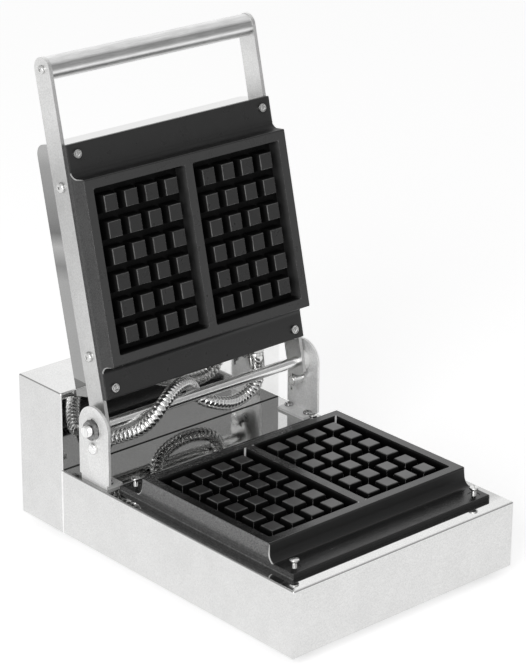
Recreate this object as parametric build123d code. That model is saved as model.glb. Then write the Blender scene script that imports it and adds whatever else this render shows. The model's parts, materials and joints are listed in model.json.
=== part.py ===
from build123d import *
from math import atan, cos, degrees, pi, radians, sin, tan
import os

os.makedirs("parts", exist_ok=True)

# Double waffle maker with a lid that folds back, standing open.
# Millimetres. X runs across, Y from the front panel to the back, Z up from the table.

# Sheet housing
HOUSING_W = 300.0
BOX_D = 71.0
FOOT_H = 10.0
DECK_Z = 81.5
BOX_Z = 167.5
SHEET = 1.2
FOLD_R = 2.0
FLANGE = 14.0
HALF = HOUSING_W / 2
IN_X = HALF - SHEET

# Pieces stacked along the hinge rod, from the housing's side wall inward
BRACKET_INSET = 5.5
BRACKET_T = 3.0
SPACER_T = 6.4
SPACER_GAP = 0.1
ARM_T = 4.0
BRACKET_X = HALF - BRACKET_INSET
ARM_X = BRACKET_X - BRACKET_T - SPACER_T - SPACER_GAP
LID_X = ARM_X - ARM_T

# Cast plate, the same pattern below and above
SLAB_OVER = 3.0
SLAB_L = 262.2
SLAB_H = 5.3
LEDGE_L = 35.15
FRAME_H = 19.1
FRAME_DRAFT = 1.5
SIDE_RIM = 11.45
MIDDLE_RIM = 10.1
END_RIM = 10.45
POCKET_DEPTH = 14.0
COLUMNS = 4
ROWS = 6
GROOVE_X = 10.0
GROOVE_Y = 10.5
POCKET_MARGIN_X = 13.5
POCKET_MARGIN_Y = 9.0
STUD_DRAFT = 2.2
STUD_DROP = 0.85
STUD_BEVEL = 0.6
COVE_R = 9.0
EDGE_R = 1.5
SLAB_W = 2 * (LID_X + SLAB_OVER)
FRAME_L = SLAB_L - 2 * LEDGE_L
PLATE_H = SLAB_H + FRAME_H
POCKET_W = (SLAB_W - 2 * SIDE_RIM - MIDDLE_RIM) / 2
POCKET_L = FRAME_L - 2 * END_RIM
POCKET_X = (MIDDLE_RIM + POCKET_W) / 2
STUD_PITCH_X = (POCKET_W - POCKET_MARGIN_X) / COLUMNS
STUD_PITCH_Y = (POCKET_L - POCKET_MARGIN_Y) / ROWS
STUD_TOP_X = STUD_PITCH_X - GROOVE_X
STUD_TOP_Y = STUD_PITCH_Y - GROOVE_Y

# Screws through the plate's ledges
SCREW_X = SLAB_W / 2 - 12.0
SCREW_L = SLAB_L / 2 - 10.6
SCREW_R = 2.5
SCREW_HEAD_R = 4.75
SCREW_HEAD_H = 3.2
SPOT_R = 6.5
SPOT_H = 0.4
LOWER_PROUD = 9.0

# Heater pack behind each plate
ELEMENT_R = 3.25
ELEMENT_BEND = 20.0
CLAMP_T = 2.0
WOOL_T = 20.0
CUTOUT_X = SLAB_W / 2 - 19.0
CUTOUT_Y = FRAME_L / 2 - 3.95
CLAMP_X = CUTOUT_X - 11.0
CLAMP_Y = CUTOUT_Y - 8.0
ELEMENT_X = CLAMP_X - 12.0
ELEMENT_INNER = ELEMENT_X / 3
ELEMENT_L = CLAMP_Y - 10.0
BOLT_X = (ELEMENT_X + ELEMENT_INNER) / 2
BOLT_Y = 40.0
BOLT_BITE = 5.0
BULB_L = 80.0

# Along the machine, from the front panel to the back
FRONT_MARGIN = 19.4
HINGE_CLEAR = 28.4
BOX_SPACE = 47.0
PLATE_Y = FRONT_MARGIN + SLAB_L / 2
HINGE_Y = PLATE_Y + SLAB_L / 2 + HINGE_CLEAR
DECK_D = HINGE_Y + BOX_SPACE
BACK_Y = DECK_D + BOX_D

# Lid, in its own directions: V along the lid, W toward the baking face
LID_V0 = HINGE_CLEAR
LID_V1 = LID_V0 + SLAB_L
LID_W0 = -39.0
LID_W1 = 10.9
LID_ROLL = 12.0
LIP = 18.0
ARM_W0 = -14.1
ARM_FOOT_R = 15.5
HANDLE_V = LID_V1 + 76.5
HANDLE_W = -1.6
HANDLE_R = 12.0
HANDLE_WALL = 1.5
ARM_SCREW_V = (LID_V0 + 45.1, LID_V1 - 42.6)
ARM_SCREW_W = -0.6

# Hinge. Its height leaves the closed plates just apart
CLOSED_GAP = 1.1
HINGE_Z = DECK_Z + 2 * PLATE_H + LID_W1 + CLOSED_GAP
LEAN = 13.1
ROD_R = 6.0
RUN_FIT = 0.05
HINGE_FIT = 0.1
BRACKET_HALF = 24.0
BRACKET_FLANGE = 20.0
BRACKET_RELIEF = 3.0
SPACER_R = 12.0
WASHER_R = 12.0
WASHER_T = 1.2
NUT_AF = 19.0
NUT_H = 5.0
THREAD_END = 5.5
LEFT_REACH = BRACKET_X + WASHER_T + NUT_H + THREAD_END

# Stop pins under the rod, which the arms' heels lean on
STOP_DROP = 21.0
STOP_R = 4.75
STOP_L = 13.0
STOP_NECK_R = 3.0
STOP_NUT_H = 3.2
STOP_HEAD_R = 6.5
STOP_HEAD_H = 4.5
CLIP_T = 0.8

# Flexible conduit from the lid to the control box
CONDUIT_R = 7.0
CONDUIT_BORE = 5.6
LID_GLAND_X = LID_X - 41.0
LID_GLAND_W = -15.0
LID_GLAND_L = 26.0
BOX_GLAND_X = -HALF + 34.0
BOX_GLAND_Z = DECK_Z + 30.1
BOX_GLAND_L = 14.0
GLAND_NECK_R = 6.8
GLAND_NECK_L = 7.0
GLAND_HOLE_R = 7.0
GLAND_BORE_R = 5.2

# Rubber feet
FOOT_R = 10.0
FOOT_X = HALF - 28.0
FOOT_Y = (26.0, BACK_Y - 45.0)

# Controls on the right wall of the control box
DIAL_Y = BACK_Y - 27.0
THERMOSTAT_Z = BOX_Z - 33.5
TIMER_Z = THERMOSTAT_Z - 45.0
SWITCH_Z = TIMER_Z - 43.0
LAMP_Y = DIAL_Y - 27.0
KNOB_R = 17.0
KNOB_GRIP_R = 12.0
KNOB_SKIRT = 5.0
KNOB_REACH = 22.0
KNOB_GAP = 0.5
SHAFT_R = 3.0
SHAFT_L = 14.0
ROCKER_TILT = 12.0
RIGHT_REACH = HALF + KNOB_REACH

# Back panel fittings
GLAND_X = -HALF + 55.0
GLAND_Z = FOOT_H + 38.0
GLAND_REACH = 20.0
STUD_X = GLAND_X + 50.0
STUD_Z = FOOT_H + 30.0

# Wiring gear on the floor of the control box
WIRING_Y = DECK_D + 9.0
TERMINAL_X = -FOOT_X + 17.0
TERMINAL_L = 70.0
CONTACTOR_X = TERMINAL_X + TERMINAL_L + 15.0

# The part frame has its origin under the middle of the outer box
SHIFT_X = (LEFT_REACH - RIGHT_REACH) / 2
SHIFT_Y = -(BACK_Y + GLAND_REACH) / 2

UP = (0, 0, 1)
DOWN = (0, 0, -1)
RIGHT = (1, 0, 0)
BACK = (0, 1, 0)
FRONT = (0, -1, 0)


def block(x0, x1, y0, y1, z0, z1):
    middle = Pos((x0 + x1) / 2, (y0 + y1) / 2, (z0 + z1) / 2)
    return middle * Box(x1 - x0, y1 - y0, z1 - z0)


def rod(start, direction, radius, length):
    return extrude(Plane(origin=start, z_dir=direction) * Circle(radius), length)


def hexagon(start, direction, across, length):
    flat = RegularPolygon(across / 2, 6, major_radius=False)
    return extrude(Plane(origin=start, z_dir=direction) * flat, length)


def ring(start, direction, outer, inner, length):
    flat = Circle(outer) - Circle(inner)
    return extrude(Plane(origin=start, z_dir=direction) * flat, length)


def nut(start, direction, across, bore, length):
    body = hexagon(start, direction, across, length)
    hole = rod(start, direction, bore, length)
    return body - hole


def pan_screw(start, direction, head_r, head_h, shank_r, length, slot=True):
    """Head stands along the direction from its seat, shank runs the other way."""
    head = Pos(0, 0, head_h / 2) * Cylinder(head_r, head_h)
    head = chamfer(head.faces().sort_by(Axis.Z)[-1].edges(), head_h * 0.3)
    shank = Pos(0, 0, -length / 2) * Cylinder(shank_r, length)
    body = head + shank
    if slot:
        body -= Pos(0, 0, head_h) * Box(head_r * 2.2, 1.3, head_h * 0.8)
    return Plane(origin=start, z_dir=direction) * body


def lid_place(solid):
    """Lid pieces are drawn with V as Z and W as minus Y, then leaned back."""
    return Pos(0, HINGE_Y, HINGE_Z) * Rot(-LEAN, 0, 0) * solid


def lid_point(x, v, w):
    lean = radians(LEAN)
    y = HINGE_Y + v * sin(lean) - w * cos(lean)
    z = HINGE_Z + v * cos(lean) + w * sin(lean)
    return (x, y, z)


NODES = {}


def node(name, shape):
    """Write one node: a single solid, or a list of separate like solids."""
    shift = Location((SHIFT_X, SHIFT_Y, 0))
    if isinstance(shape, list):
        out = Compound(children=[s.solid().moved(shift) for s in shape])
    else:
        out = shape.solid().moved(shift)
    NODES[name] = out
    export_step(out, "parts/" + name + ".step")


# Sheet housing, base plate and feet

BASE_SCREW_Y = (70.0, 190.0, DECK_D - 12.0, BACK_Y - 33.0)


def base_plate_screw_spots():
    return [(sx * (HALF - 8.0), y) for sx in (-1, 1) for y in BASE_SCREW_Y]


def plate_screw_spots():
    return [(sx * SCREW_X, PLATE_Y + sy * SCREW_L) for sx in (-1, 1) for sy in (-1, 1)]


def bracket_screw_spots():
    return [(sx * (BRACKET_X - 8.0), y) for sx in (-1, 1) for y in (HINGE_Y - 14, HINGE_Y + 16)]


def base_housing():
    body = block(-HALF, HALF, 0, DECK_D, FOOT_H, DECK_Z)
    tall = body.edges().filter_by(Axis.Z).filter_by(lambda e: e.center().Y < 1)
    top = body.faces().sort_by(Axis.Z)[-1].edges()
    top = top.filter_by(lambda e: e.center().Y < DECK_D - 1)
    body = fillet(list(tall) + list(top), FOLD_R)
    body -= block(-IN_X, IN_X, SHEET, DECK_D, FOOT_H + SHEET, DECK_Z - SHEET)
    body -= block(-HALF + FLANGE, HALF - FLANGE, FLANGE, DECK_D, FOOT_H, FOOT_H + SHEET)
    body -= block(-CUTOUT_X, CUTOUT_X, PLATE_Y - CUTOUT_Y, PLATE_Y + CUTOUT_Y, DECK_Z - SHEET, DECK_Z)
    for x, y in plate_screw_spots():
        body -= rod((x, y, DECK_Z - SHEET), UP, SCREW_R + 0.2, SHEET)
    for x, y in bracket_screw_spots():
        body -= rod((x, y, DECK_Z - SHEET), UP, 2.7, SHEET)
    for x, y in base_plate_screw_spots():
        if y < DECK_D:
            body -= rod((x, y, FOOT_H), UP, 2.2, SHEET)
    return body


def control_box_shell():
    body = block(-HALF, HALF, DECK_D, BACK_Y, FOOT_H, BOX_Z)
    tall = body.edges().filter_by(Axis.Z).filter_by(lambda e: e.center().Y < DECK_D + 1)
    top = body.faces().sort_by(Axis.Z)[-1].edges()
    top = top.filter_by(lambda e: e.center().Y < BACK_Y - 1)
    body = fillet(list(tall) + list(top), FOLD_R)
    body -= block(-IN_X, IN_X, DECK_D + SHEET, BACK_Y, FOOT_H + SHEET, BOX_Z - SHEET)
    inner = HALF - FLANGE
    body -= block(-inner, inner, DECK_D + SHEET, BACK_Y, FOOT_H, FOOT_H + SHEET)
    # Ledge that the back panel is screwed to
    seat = BACK_Y - SHEET
    body -= block(-IN_X, IN_X, seat, BACK_Y, FOOT_H, FOOT_H + SHEET)
    rim = block(-IN_X, IN_X, seat - SHEET, seat, FOOT_H, BOX_Z - SHEET)
    rim -= block(-IN_X + 12, IN_X - 12, seat - SHEET, seat, FOOT_H, BOX_Z - SHEET - 12)
    for x, z in back_screw_spots():
        rim -= rod((x, seat, z), FRONT, 2.2, SHEET)
    body += rim
    for x, y in base_plate_screw_spots():
        if y > DECK_D:
            body -= rod((x, y, FOOT_H), UP, 2.2, SHEET)
    body -= rod((BOX_GLAND_X, DECK_D, BOX_GLAND_Z), BACK, GLAND_HOLE_R, SHEET)
    for z in (THERMOSTAT_Z, TIMER_Z):
        body -= rod((IN_X, DIAL_Y, z), RIGHT, 5.2, SHEET)
        body -= rod((IN_X, LAMP_Y, z), RIGHT, 4.1, SHEET)
    body -= block(IN_X, HALF, DIAL_Y - 9.0, DIAL_Y + 9.0, SWITCH_Z - 14.0, SWITCH_Z + 14.0)
    return body


def back_screw_spots():
    sides = [(sx * (IN_X - 6.0), z) for sx in (-1, 1) for z in (FOOT_H + 25.0, BOX_Z - 37.5)]
    return sides + [(sx * 70.0, BOX_Z - SHEET - 6.0) for sx in (-1, 1)]


def back_panel():
    y0 = BACK_Y - SHEET
    panel = block(-IN_X + 0.3, IN_X - 0.3, y0, BACK_Y, FOOT_H + 0.3, BOX_Z - SHEET - 0.3)
    for x, z in back_screw_spots():
        panel -= rod((x, y0, z), BACK, 2.2, SHEET)
    for row in range(6):
        for x in (-50.0, 50.0):
            z = BOX_Z - 75.5 + row * 10.0
            panel -= block(x - 32, x + 32, y0, BACK_Y, z - 2, z + 2)
    panel -= rod((GLAND_X, y0, GLAND_Z), BACK, 8.2, SHEET)
    panel -= rod((STUD_X, y0, STUD_Z), BACK, 3.2, SHEET)
    return panel


def base_plate():
    z0 = FOOT_H - SHEET
    plate = block(-HALF + 1.5, HALF - 1.5, 1.5, BACK_Y - 1.5, z0, FOOT_H)
    for x, y in base_plate_screw_spots():
        plate -= rod((x, y, z0), UP, 2.2, SHEET)
    for x, y in foot_spots():
        plate -= rod((x, y, z0), UP, 2.7, SHEET)
    for row in range(5):
        y = PLATE_Y - 40.0 + row * 20.0
        plate -= block(-50, 50, y - 2, y + 2, z0, FOOT_H)
    return plate


def foot_spots():
    return [(sx * FOOT_X, y) for sx in (-1, 1) for y in FOOT_Y]


def rubber_foot(x, y):
    h = FOOT_H - SHEET
    foot = Pos(x, y, 0) * extrude(Circle(FOOT_R - 1.0), h, taper=-6.0)
    foot -= rod((x, y, 0), UP, 5.6, 4.0)
    foot -= rod((x, y, 0), UP, 2.7, h)
    return foot


def foot_screw(x, y):
    return pan_screw((x, y, 4.0), DOWN, 4.6, 2.6, 2.5, 13.0)


def foot_nut(x, y):
    return nut((x, y, FOOT_H), UP, 8.0, 2.6, 4.0)


def base_plate_screw(x, y):
    return pan_screw((x, y, FOOT_H - SHEET), DOWN, 3.6, 2.0, 2.0, 6.0)


def back_panel_screw(x, z):
    return pan_screw((x, BACK_Y, z), BACK, 3.6, 2.0, 2.0, 6.0)


# Cast baking plate, drawn flat with its back on Z = 0

def stud():
    height = POCKET_DEPTH - STUD_DROP
    base_x = STUD_TOP_X + 2 * STUD_DRAFT
    base_y = STUD_TOP_Y + 2 * STUD_DRAFT
    lean = degrees(atan(STUD_DRAFT / height))
    body = extrude(Rectangle(base_x, base_y), height, taper=lean)
    return chamfer(body.faces().sort_by(Axis.Z)[-1].edges(), STUD_BEVEL)


def casting():
    half = SLAB_L / 2
    wall = FRAME_L / 2
    top = PLATE_H
    outline = Polyline(
        (-half, 0),
        (half, 0),
        (half, SLAB_H),
        (wall + FRAME_DRAFT, SLAB_H),
        (wall, top),
        (-wall, top),
        (-wall - FRAME_DRAFT, SLAB_H),
        (-half, SLAB_H),
        close=True,
    )
    face = make_face(outline)
    coves = [v for v in face.vertices() if abs(abs(v.X) - wall - FRAME_DRAFT) < 0.01]
    face = fillet(coves, COVE_R)
    rims = [v for v in face.vertices() if v.Y > top - 0.01]
    face = fillet(rims, EDGE_R)
    noses = [v for v in face.vertices() if abs(v.Y - SLAB_H) < 0.01 and abs(v.X) > half - 0.01]
    face = fillet(noses, EDGE_R)
    profile = Plane(origin=(-SLAB_W / 2, 0, 0), x_dir=(0, 1, 0), z_dir=(1, 0, 0)) * face
    body = extrude(profile, SLAB_W)
    # Side walls of the frame lean in a little
    for side in (-1, 1):
        edge = side * SLAB_W / 2
        wedge = make_face(Polyline(
            (edge, SLAB_H),
            (edge - side * FRAME_DRAFT, top),
            (edge - side * FRAME_DRAFT, top + 5),
            (edge + side * 5, top + 5),
            (edge + side * 5, SLAB_H),
            close=True,
        ))
        cutter = extrude(Plane.XZ * wedge, half + 5, both=True)
        body -= cutter
    lean = degrees(atan(STUD_DRAFT / POCKET_DEPTH))
    floor = top - POCKET_DEPTH
    pockets = []
    for side in (-1, 1):
        mouth = Plane(origin=(side * POCKET_X, 0, top), z_dir=DOWN) * Rectangle(POCKET_W, POCKET_L)
        pockets.append(extrude(mouth, POCKET_DEPTH, taper=lean))
    body -= pockets
    one = stud()
    studs = []
    for side in (-1, 1):
        for i in range(COLUMNS):
            for j in range(ROWS):
                x = side * POCKET_X + (i - (COLUMNS - 1) / 2) * STUD_PITCH_X
                y = (j - (ROWS - 1) / 2) * STUD_PITCH_Y
                studs.append(Pos(x, y, floor) * one)
    body += studs
    for sx in (-1, 1):
        for sy in (-1, 1):
            body -= rod((sx * SCREW_X, sy * SCREW_L, 0), UP, SCREW_R + 0.2, SLAB_H)
            body -= rod((sx * SCREW_X, sy * SCREW_L, SLAB_H - SPOT_H), UP, SPOT_R, SPOT_H)
    for x, y in clamp_bolt_spots():
        body -= rod((x, y, 0), UP, 2.1, BOLT_BITE + 1.0)
    return body


# Heater pack, drawn hanging below Z = 0 so that it lies against a plate's back

def clamp_bolt_spots():
    return [(sx * BOLT_X, sy * BOLT_Y) for sx in (-1, 1) for sy in (-1, 1)]


def heating_element():
    z = -ELEMENT_R
    inner = ELEMENT_INNER
    end = ELEMENT_L
    path = FilletPolyline(
        (-ELEMENT_X, -end, z),
        (-ELEMENT_X, end, z),
        (-inner, end, z),
        (-inner, -end, z),
        (inner, -end, z),
        (inner, end, z),
        (ELEMENT_X, end, z),
        (ELEMENT_X, -end, z),
        radius=ELEMENT_BEND,
    )
    start = Plane(origin=path @ 0, z_dir=path % 0)
    return sweep(start * Circle(ELEMENT_R), path=path)


def heater_clamp():
    z = -2 * ELEMENT_R
    plate = block(-CLAMP_X, CLAMP_X, -CLAMP_Y, CLAMP_Y, z - CLAMP_T, z)
    for x, y in clamp_bolt_spots():
        plate -= rod((x, y, z - CLAMP_T), UP, 2.2, CLAMP_T)
    return plate


def clamp_bolts():
    seat = -2 * ELEMENT_R - CLAMP_T
    length = BOLT_BITE - seat
    bolts = []
    for x, y in clamp_bolt_spots():
        bolts.append(pan_screw((x, y, seat), DOWN, 3.8, 3.0, 2.0, length, slot=False))
    return bolts


def wool_slab():
    top = -2 * ELEMENT_R - CLAMP_T
    wool = block(-CLAMP_X, CLAMP_X, -CLAMP_Y, CLAMP_Y, top - WOOL_T, top)
    for x, y in clamp_bolt_spots():
        wool -= rod((x, y, top - 3.6), UP, 4.6, 3.6)
    return wool


def sensor_bulb():
    # Capillary sensor held between the plate and the clamp, over the middle bend
    return rod((0, -BULB_L / 2, -ELEMENT_R), BACK, ELEMENT_R, BULB_L)


def heat_shield():
    # Tray hung under the deck, round the wool
    floor = -2 * ELEMENT_R - CLAMP_T - WOOL_T
    inner_x = CLAMP_X + 0.5
    inner_y = CLAMP_Y + 0.5
    tray = block(-inner_x - 1, inner_x + 1, -inner_y - 1, inner_y + 1, floor - 1, -SHEET)
    tray -= block(-inner_x, inner_x, -inner_y, inner_y, floor, -SHEET)
    rim = block(-CUTOUT_X - 2, CUTOUT_X + 2, -CUTOUT_Y - 10, CUTOUT_Y + 10, -SHEET - 1, -SHEET)
    rim -= block(-inner_x - 1, inner_x + 1, -inner_y - 1, inner_y + 1, -SHEET - 1, -SHEET)
    return tray + rim


def on_lower(solid):
    return Pos(0, PLATE_Y, DECK_Z) * solid


def on_upper(solid):
    middle = (LID_V0 + LID_V1) / 2
    return lid_place(Pos(0, -LID_W1, middle) * Rot(90, 0, 0) * solid)


def lower_plate_screw(x, y):
    ledge = DECK_Z + SLAB_H
    seat = ledge + LOWER_PROUD - SCREW_HEAD_H
    length = seat - DECK_Z + SHEET + 6.0
    return pan_screw((x, y, seat), UP, SCREW_HEAD_R, SCREW_HEAD_H, SCREW_R, length)


def upper_plate_screw(sx, sy):
    seat = SLAB_H - SPOT_H
    return on_upper(pan_screw(
        (sx * SCREW_X, sy * SCREW_L, seat), UP, SCREW_HEAD_R, SCREW_HEAD_H, SCREW_R, 14.0))


def upper_plate_nut(sx, sy):
    return on_upper(nut((sx * SCREW_X, sy * SCREW_L, -SHEET), DOWN, 8.0, SCREW_R + 0.1, 4.0))


# Hinge

def hinge_bracket(side):
    t = BRACKET_T
    upright = Pos(HINGE_Y, HINGE_Z) * Circle(BRACKET_HALF)
    middle = Pos(HINGE_Y, (HINGE_Z + DECK_Z) / 2)
    upright += middle * Rectangle(2 * BRACKET_HALF, HINGE_Z - DECK_Z)
    plane = Plane(origin=(BRACKET_X - t, 0, 0), x_dir=(0, 1, 0), z_dir=(1, 0, 0))
    body = extrude(plane * upright, t)
    inner = BRACKET_X - BRACKET_FLANGE
    y0 = HINGE_Y - BRACKET_HALF
    y1 = HINGE_Y + BRACKET_HALF
    relief = BRACKET_RELIEF
    body += block(inner, BRACKET_X, y0 + relief, y1 - relief, DECK_Z, DECK_Z + t)
    # Relief cuts at both ends of the bend
    for a, b in ((y0, y0 + relief), (y1 - relief, y1)):
        body -= block(BRACKET_X - t, BRACKET_X, a, b, DECK_Z, DECK_Z + t + 2)
    body -= rod((BRACKET_X - t, HINGE_Y, HINGE_Z), RIGHT, ROD_R + RUN_FIT, t)
    body -= rod((BRACKET_X - t, HINGE_Y, HINGE_Z - STOP_DROP), RIGHT, STOP_NECK_R + HINGE_FIT, t)
    for x, y in bracket_screw_spots():
        if x > 0:
            body -= rod((x, y, DECK_Z), UP, 2.7, t)
    if side < 0:
        body = mirror(body, Plane.YZ)
    return body


def bracket_screw(x, y):
    return pan_screw((x, y, DECK_Z + BRACKET_T), UP, 4.8, 3.2, 2.5, 10.0)


def deck_nut(x, y):
    return nut((x, y, DECK_Z - SHEET), DOWN, 8.0, 2.6, 4.0)


def hinge_rod():
    bar = rod((-LEFT_REACH, HINGE_Y, HINGE_Z), RIGHT, ROD_R, 2 * LEFT_REACH)
    ends = [f for f in bar.faces() if abs(f.center().X) > LEFT_REACH - 0.1]
    return chamfer([e for f in ends for e in f.edges()], 0.6)


def both_sides(make):
    return [make(-1), make(1)]


def outward(side):
    return (side, 0, 0)


def inward(side):
    return (-side, 0, 0)


def hinge_washer(side):
    start = (side * BRACKET_X, HINGE_Y, HINGE_Z)
    return ring(start, outward(side), WASHER_R, ROD_R + HINGE_FIT, WASHER_T)


def hinge_nut(side):
    start = (side * (BRACKET_X + WASHER_T), HINGE_Y, HINGE_Z)
    body = nut(start, outward(side), NUT_AF, ROD_R + RUN_FIT, NUT_H)
    cone = Plane(origin=start, z_dir=outward(side)) * Pos(0, 0, NUT_H / 2) * Cylinder(NUT_AF * 0.56, NUT_H)
    return body & cone


def hinge_spacer(side):
    start = (side * (ARM_X + SPACER_GAP), HINGE_Y, HINGE_Z)
    return ring(start, outward(side), SPACER_R, ROD_R + HINGE_FIT, SPACER_T)


def stop_pin(side):
    y = HINGE_Y
    z = HINGE_Z - STOP_DROP
    head = rod((side * BRACKET_X, y, z), outward(side), STOP_HEAD_R, STOP_HEAD_H)
    crown = head.faces().sort_by(Axis.X)[-1 if side > 0 else 0].edges()
    head = fillet(crown, 3.0)
    neck = rod((side * BRACKET_X, y, z), inward(side), STOP_NECK_R, BRACKET_T + STOP_NUT_H)
    barrel_start = BRACKET_X - BRACKET_T - STOP_NUT_H
    barrel = rod((side * barrel_start, y, z), inward(side), STOP_R, STOP_L)
    groove_x = barrel_start - STOP_L + 2.0
    groove = ring((side * groove_x, y, z), inward(side), STOP_R + 1, 3.4, CLIP_T + 0.2)
    return head + neck + (barrel - groove)


def stop_pin_nut(side):
    start = (side * (BRACKET_X - BRACKET_T), HINGE_Y, HINGE_Z - STOP_DROP)
    return nut(start, inward(side), 11.0, STOP_NECK_R + HINGE_FIT, STOP_NUT_H)


def retaining_clip(side):
    x = side * (BRACKET_X - BRACKET_T - STOP_NUT_H - STOP_L + 1.9)
    y = HINGE_Y
    z = HINGE_Z - STOP_DROP
    clip = ring((x, y, z), inward(side), 6.2, 3.45, CLIP_T)
    near = min(x, x - side * CLIP_T)
    clip -= block(near, near + CLIP_T, y - 2.4, y + 2.4, z, z + 8)
    tail = block(near, near + CLIP_T, y - 1.6, y + 1.6, z - 11, z - 5.5)
    return clip + tail


# Lid

def lid_shell():
    y0 = -LID_W1
    y1 = -LID_W0
    body = block(-LID_X, LID_X, y0, y1, LID_V0, LID_V1)
    rear_top = body.edges().filter_by(Axis.X).sort_by(Axis.Z)[-2:].sort_by(Axis.Y)[-1]
    body = fillet(rear_top, LID_ROLL)
    inside = block(-LID_X + SHEET, LID_X - SHEET, y0 + SHEET, y1 - SHEET, LID_V0 + SHEET, LID_V1 - SHEET)
    rear_top = inside.edges().filter_by(Axis.X).sort_by(Axis.Z)[-2:].sort_by(Axis.Y)[-1]
    inside = fillet(rear_top, LID_ROLL - SHEET)
    body -= inside
    body -= block(-LID_X + SHEET, LID_X - SHEET, y0, y0 + SHEET, LID_V0 + LIP, LID_V1 - LIP)
    middle = (LID_V0 + LID_V1) / 2
    for sx in (-1, 1):
        for sy in (-1, 1):
            body -= rod((sx * SCREW_X, y0, middle + sy * SCREW_L), BACK, SCREW_R + 0.2, SHEET)
        for v in ARM_SCREW_V:
            body -= rod((sx * LID_X, -ARM_SCREW_W, v), inward(sx), 3.2, SHEET)
    body -= rod((LID_GLAND_X, -LID_GLAND_W, LID_V0), UP, GLAND_HOLE_R, SHEET)
    return lid_place(body)


def lid_arm(side):
    # Drawn in W and V on the arm's flat face
    bar = Pos((ARM_W0 + LID_W1) / 2, (HANDLE_V - ARM_FOOT_R) / 2)
    bar = bar * Rectangle(LID_W1 - ARM_W0, HANDLE_V + ARM_FOOT_R)
    foot = Pos(0, -ARM_FOOT_R / 2) * Rectangle(60, ARM_FOOT_R)
    shape = bar - (foot - Circle(ARM_FOOT_R))
    shape += Pos(HANDLE_W, HANDLE_V) * Circle((LID_W1 - ARM_W0) / 2)
    lean = radians(LEAN)
    pin_v = -STOP_DROP * cos(lean)
    pin_w = -STOP_DROP * sin(lean)
    heel_edge = pin_w - STOP_R - 0.02
    heel = (heel_edge + ARM_W0) / 2
    shape += Pos(heel, (pin_v + 1.5) / 2) * Rectangle(heel_edge - ARM_W0, -pin_v - 1.5)
    shape -= Circle(ROD_R + RUN_FIT)
    shape -= Pos(HANDLE_W, HANDLE_V) * Circle(3.2)
    for v in ARM_SCREW_V:
        shape -= Pos(ARM_SCREW_W, v) * Circle(3.2)
    plane = Plane(origin=(side * LID_X, 0, 0), x_dir=(0, -1, 0), z_dir=(-1, 0, 0))
    body = extrude(plane * shape, -side * ARM_T)
    return lid_place(body)


def arm_screws():
    screws = []
    for side in (-1, 1):
        for v in ARM_SCREW_V:
            start = (side * ARM_X, -ARM_SCREW_W, v)
            screws.append(lid_place(pan_screw(start, outward(side), 5.5, 3.5, 3.0, 12.0)))
    return screws


def arm_nuts():
    nuts = []
    for side in (-1, 1):
        for v in ARM_SCREW_V:
            start = (side * (LID_X - SHEET), -ARM_SCREW_W, v)
            nuts.append(lid_place(nut(start, inward(side), 10.0, 3.1, 5.0)))
    return nuts


def handle_tube():
    start = (-LID_X, -HANDLE_W, HANDLE_V)
    return lid_place(ring(start, RIGHT, HANDLE_R, HANDLE_R - HANDLE_WALL, 2 * LID_X))


def handle_plug(side):
    start = (side * LID_X, -HANDLE_W, HANDLE_V)
    return lid_place(ring(start, inward(side), HANDLE_R - HANDLE_WALL - 0.05, 3.1, 14.0))


def handle_screw(side):
    start = (side * ARM_X, -HANDLE_W, HANDLE_V)
    return lid_place(pan_screw(start, outward(side), 4.6, 3.0, 3.0, 16.0))


# Conduit and its glands

def lid_gland():
    start = (LID_GLAND_X, -LID_GLAND_W, LID_V0)
    nose = LID_GLAND_L - 12.0
    body = hexagon(start, DOWN, 20.0, 8.0)
    body += rod((LID_GLAND_X, -LID_GLAND_W, LID_V0 - 8.0), DOWN, 9.0, 4.0)
    taper = Plane(origin=(LID_GLAND_X, -LID_GLAND_W, LID_V0 - 12.0), z_dir=DOWN) * Circle(9.0)
    body += extrude(taper, nose, taper=4.0)
    body += rod(start, UP, GLAND_NECK_R, GLAND_NECK_L)
    mouth = (LID_GLAND_X, -LID_GLAND_W, LID_V0 - LID_GLAND_L)
    body -= rod(mouth, UP, GLAND_BORE_R, LID_GLAND_L + GLAND_NECK_L)
    return lid_place(body)


def lid_gland_nut():
    start = (LID_GLAND_X, -LID_GLAND_W, LID_V0 + SHEET)
    return lid_place(nut(start, UP, 19.0, GLAND_NECK_R + HINGE_FIT, 4.5))


def box_gland():
    start = (BOX_GLAND_X, DECK_D, BOX_GLAND_Z)
    body = hexagon(start, FRONT, 20.0, 6.0)
    body += rod((BOX_GLAND_X, DECK_D - 6.0, BOX_GLAND_Z), FRONT, 8.5, BOX_GLAND_L - 6.0)
    body += rod(start, BACK, GLAND_NECK_R, GLAND_NECK_L)
    mouth = (BOX_GLAND_X, DECK_D - BOX_GLAND_L, BOX_GLAND_Z)
    body -= rod(mouth, BACK, GLAND_BORE_R, BOX_GLAND_L + GLAND_NECK_L)
    return body


def box_gland_nut():
    start = (BOX_GLAND_X, DECK_D + SHEET, BOX_GLAND_Z)
    return nut(start, BACK, 19.0, GLAND_NECK_R + HINGE_FIT, 4.5)


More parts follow.
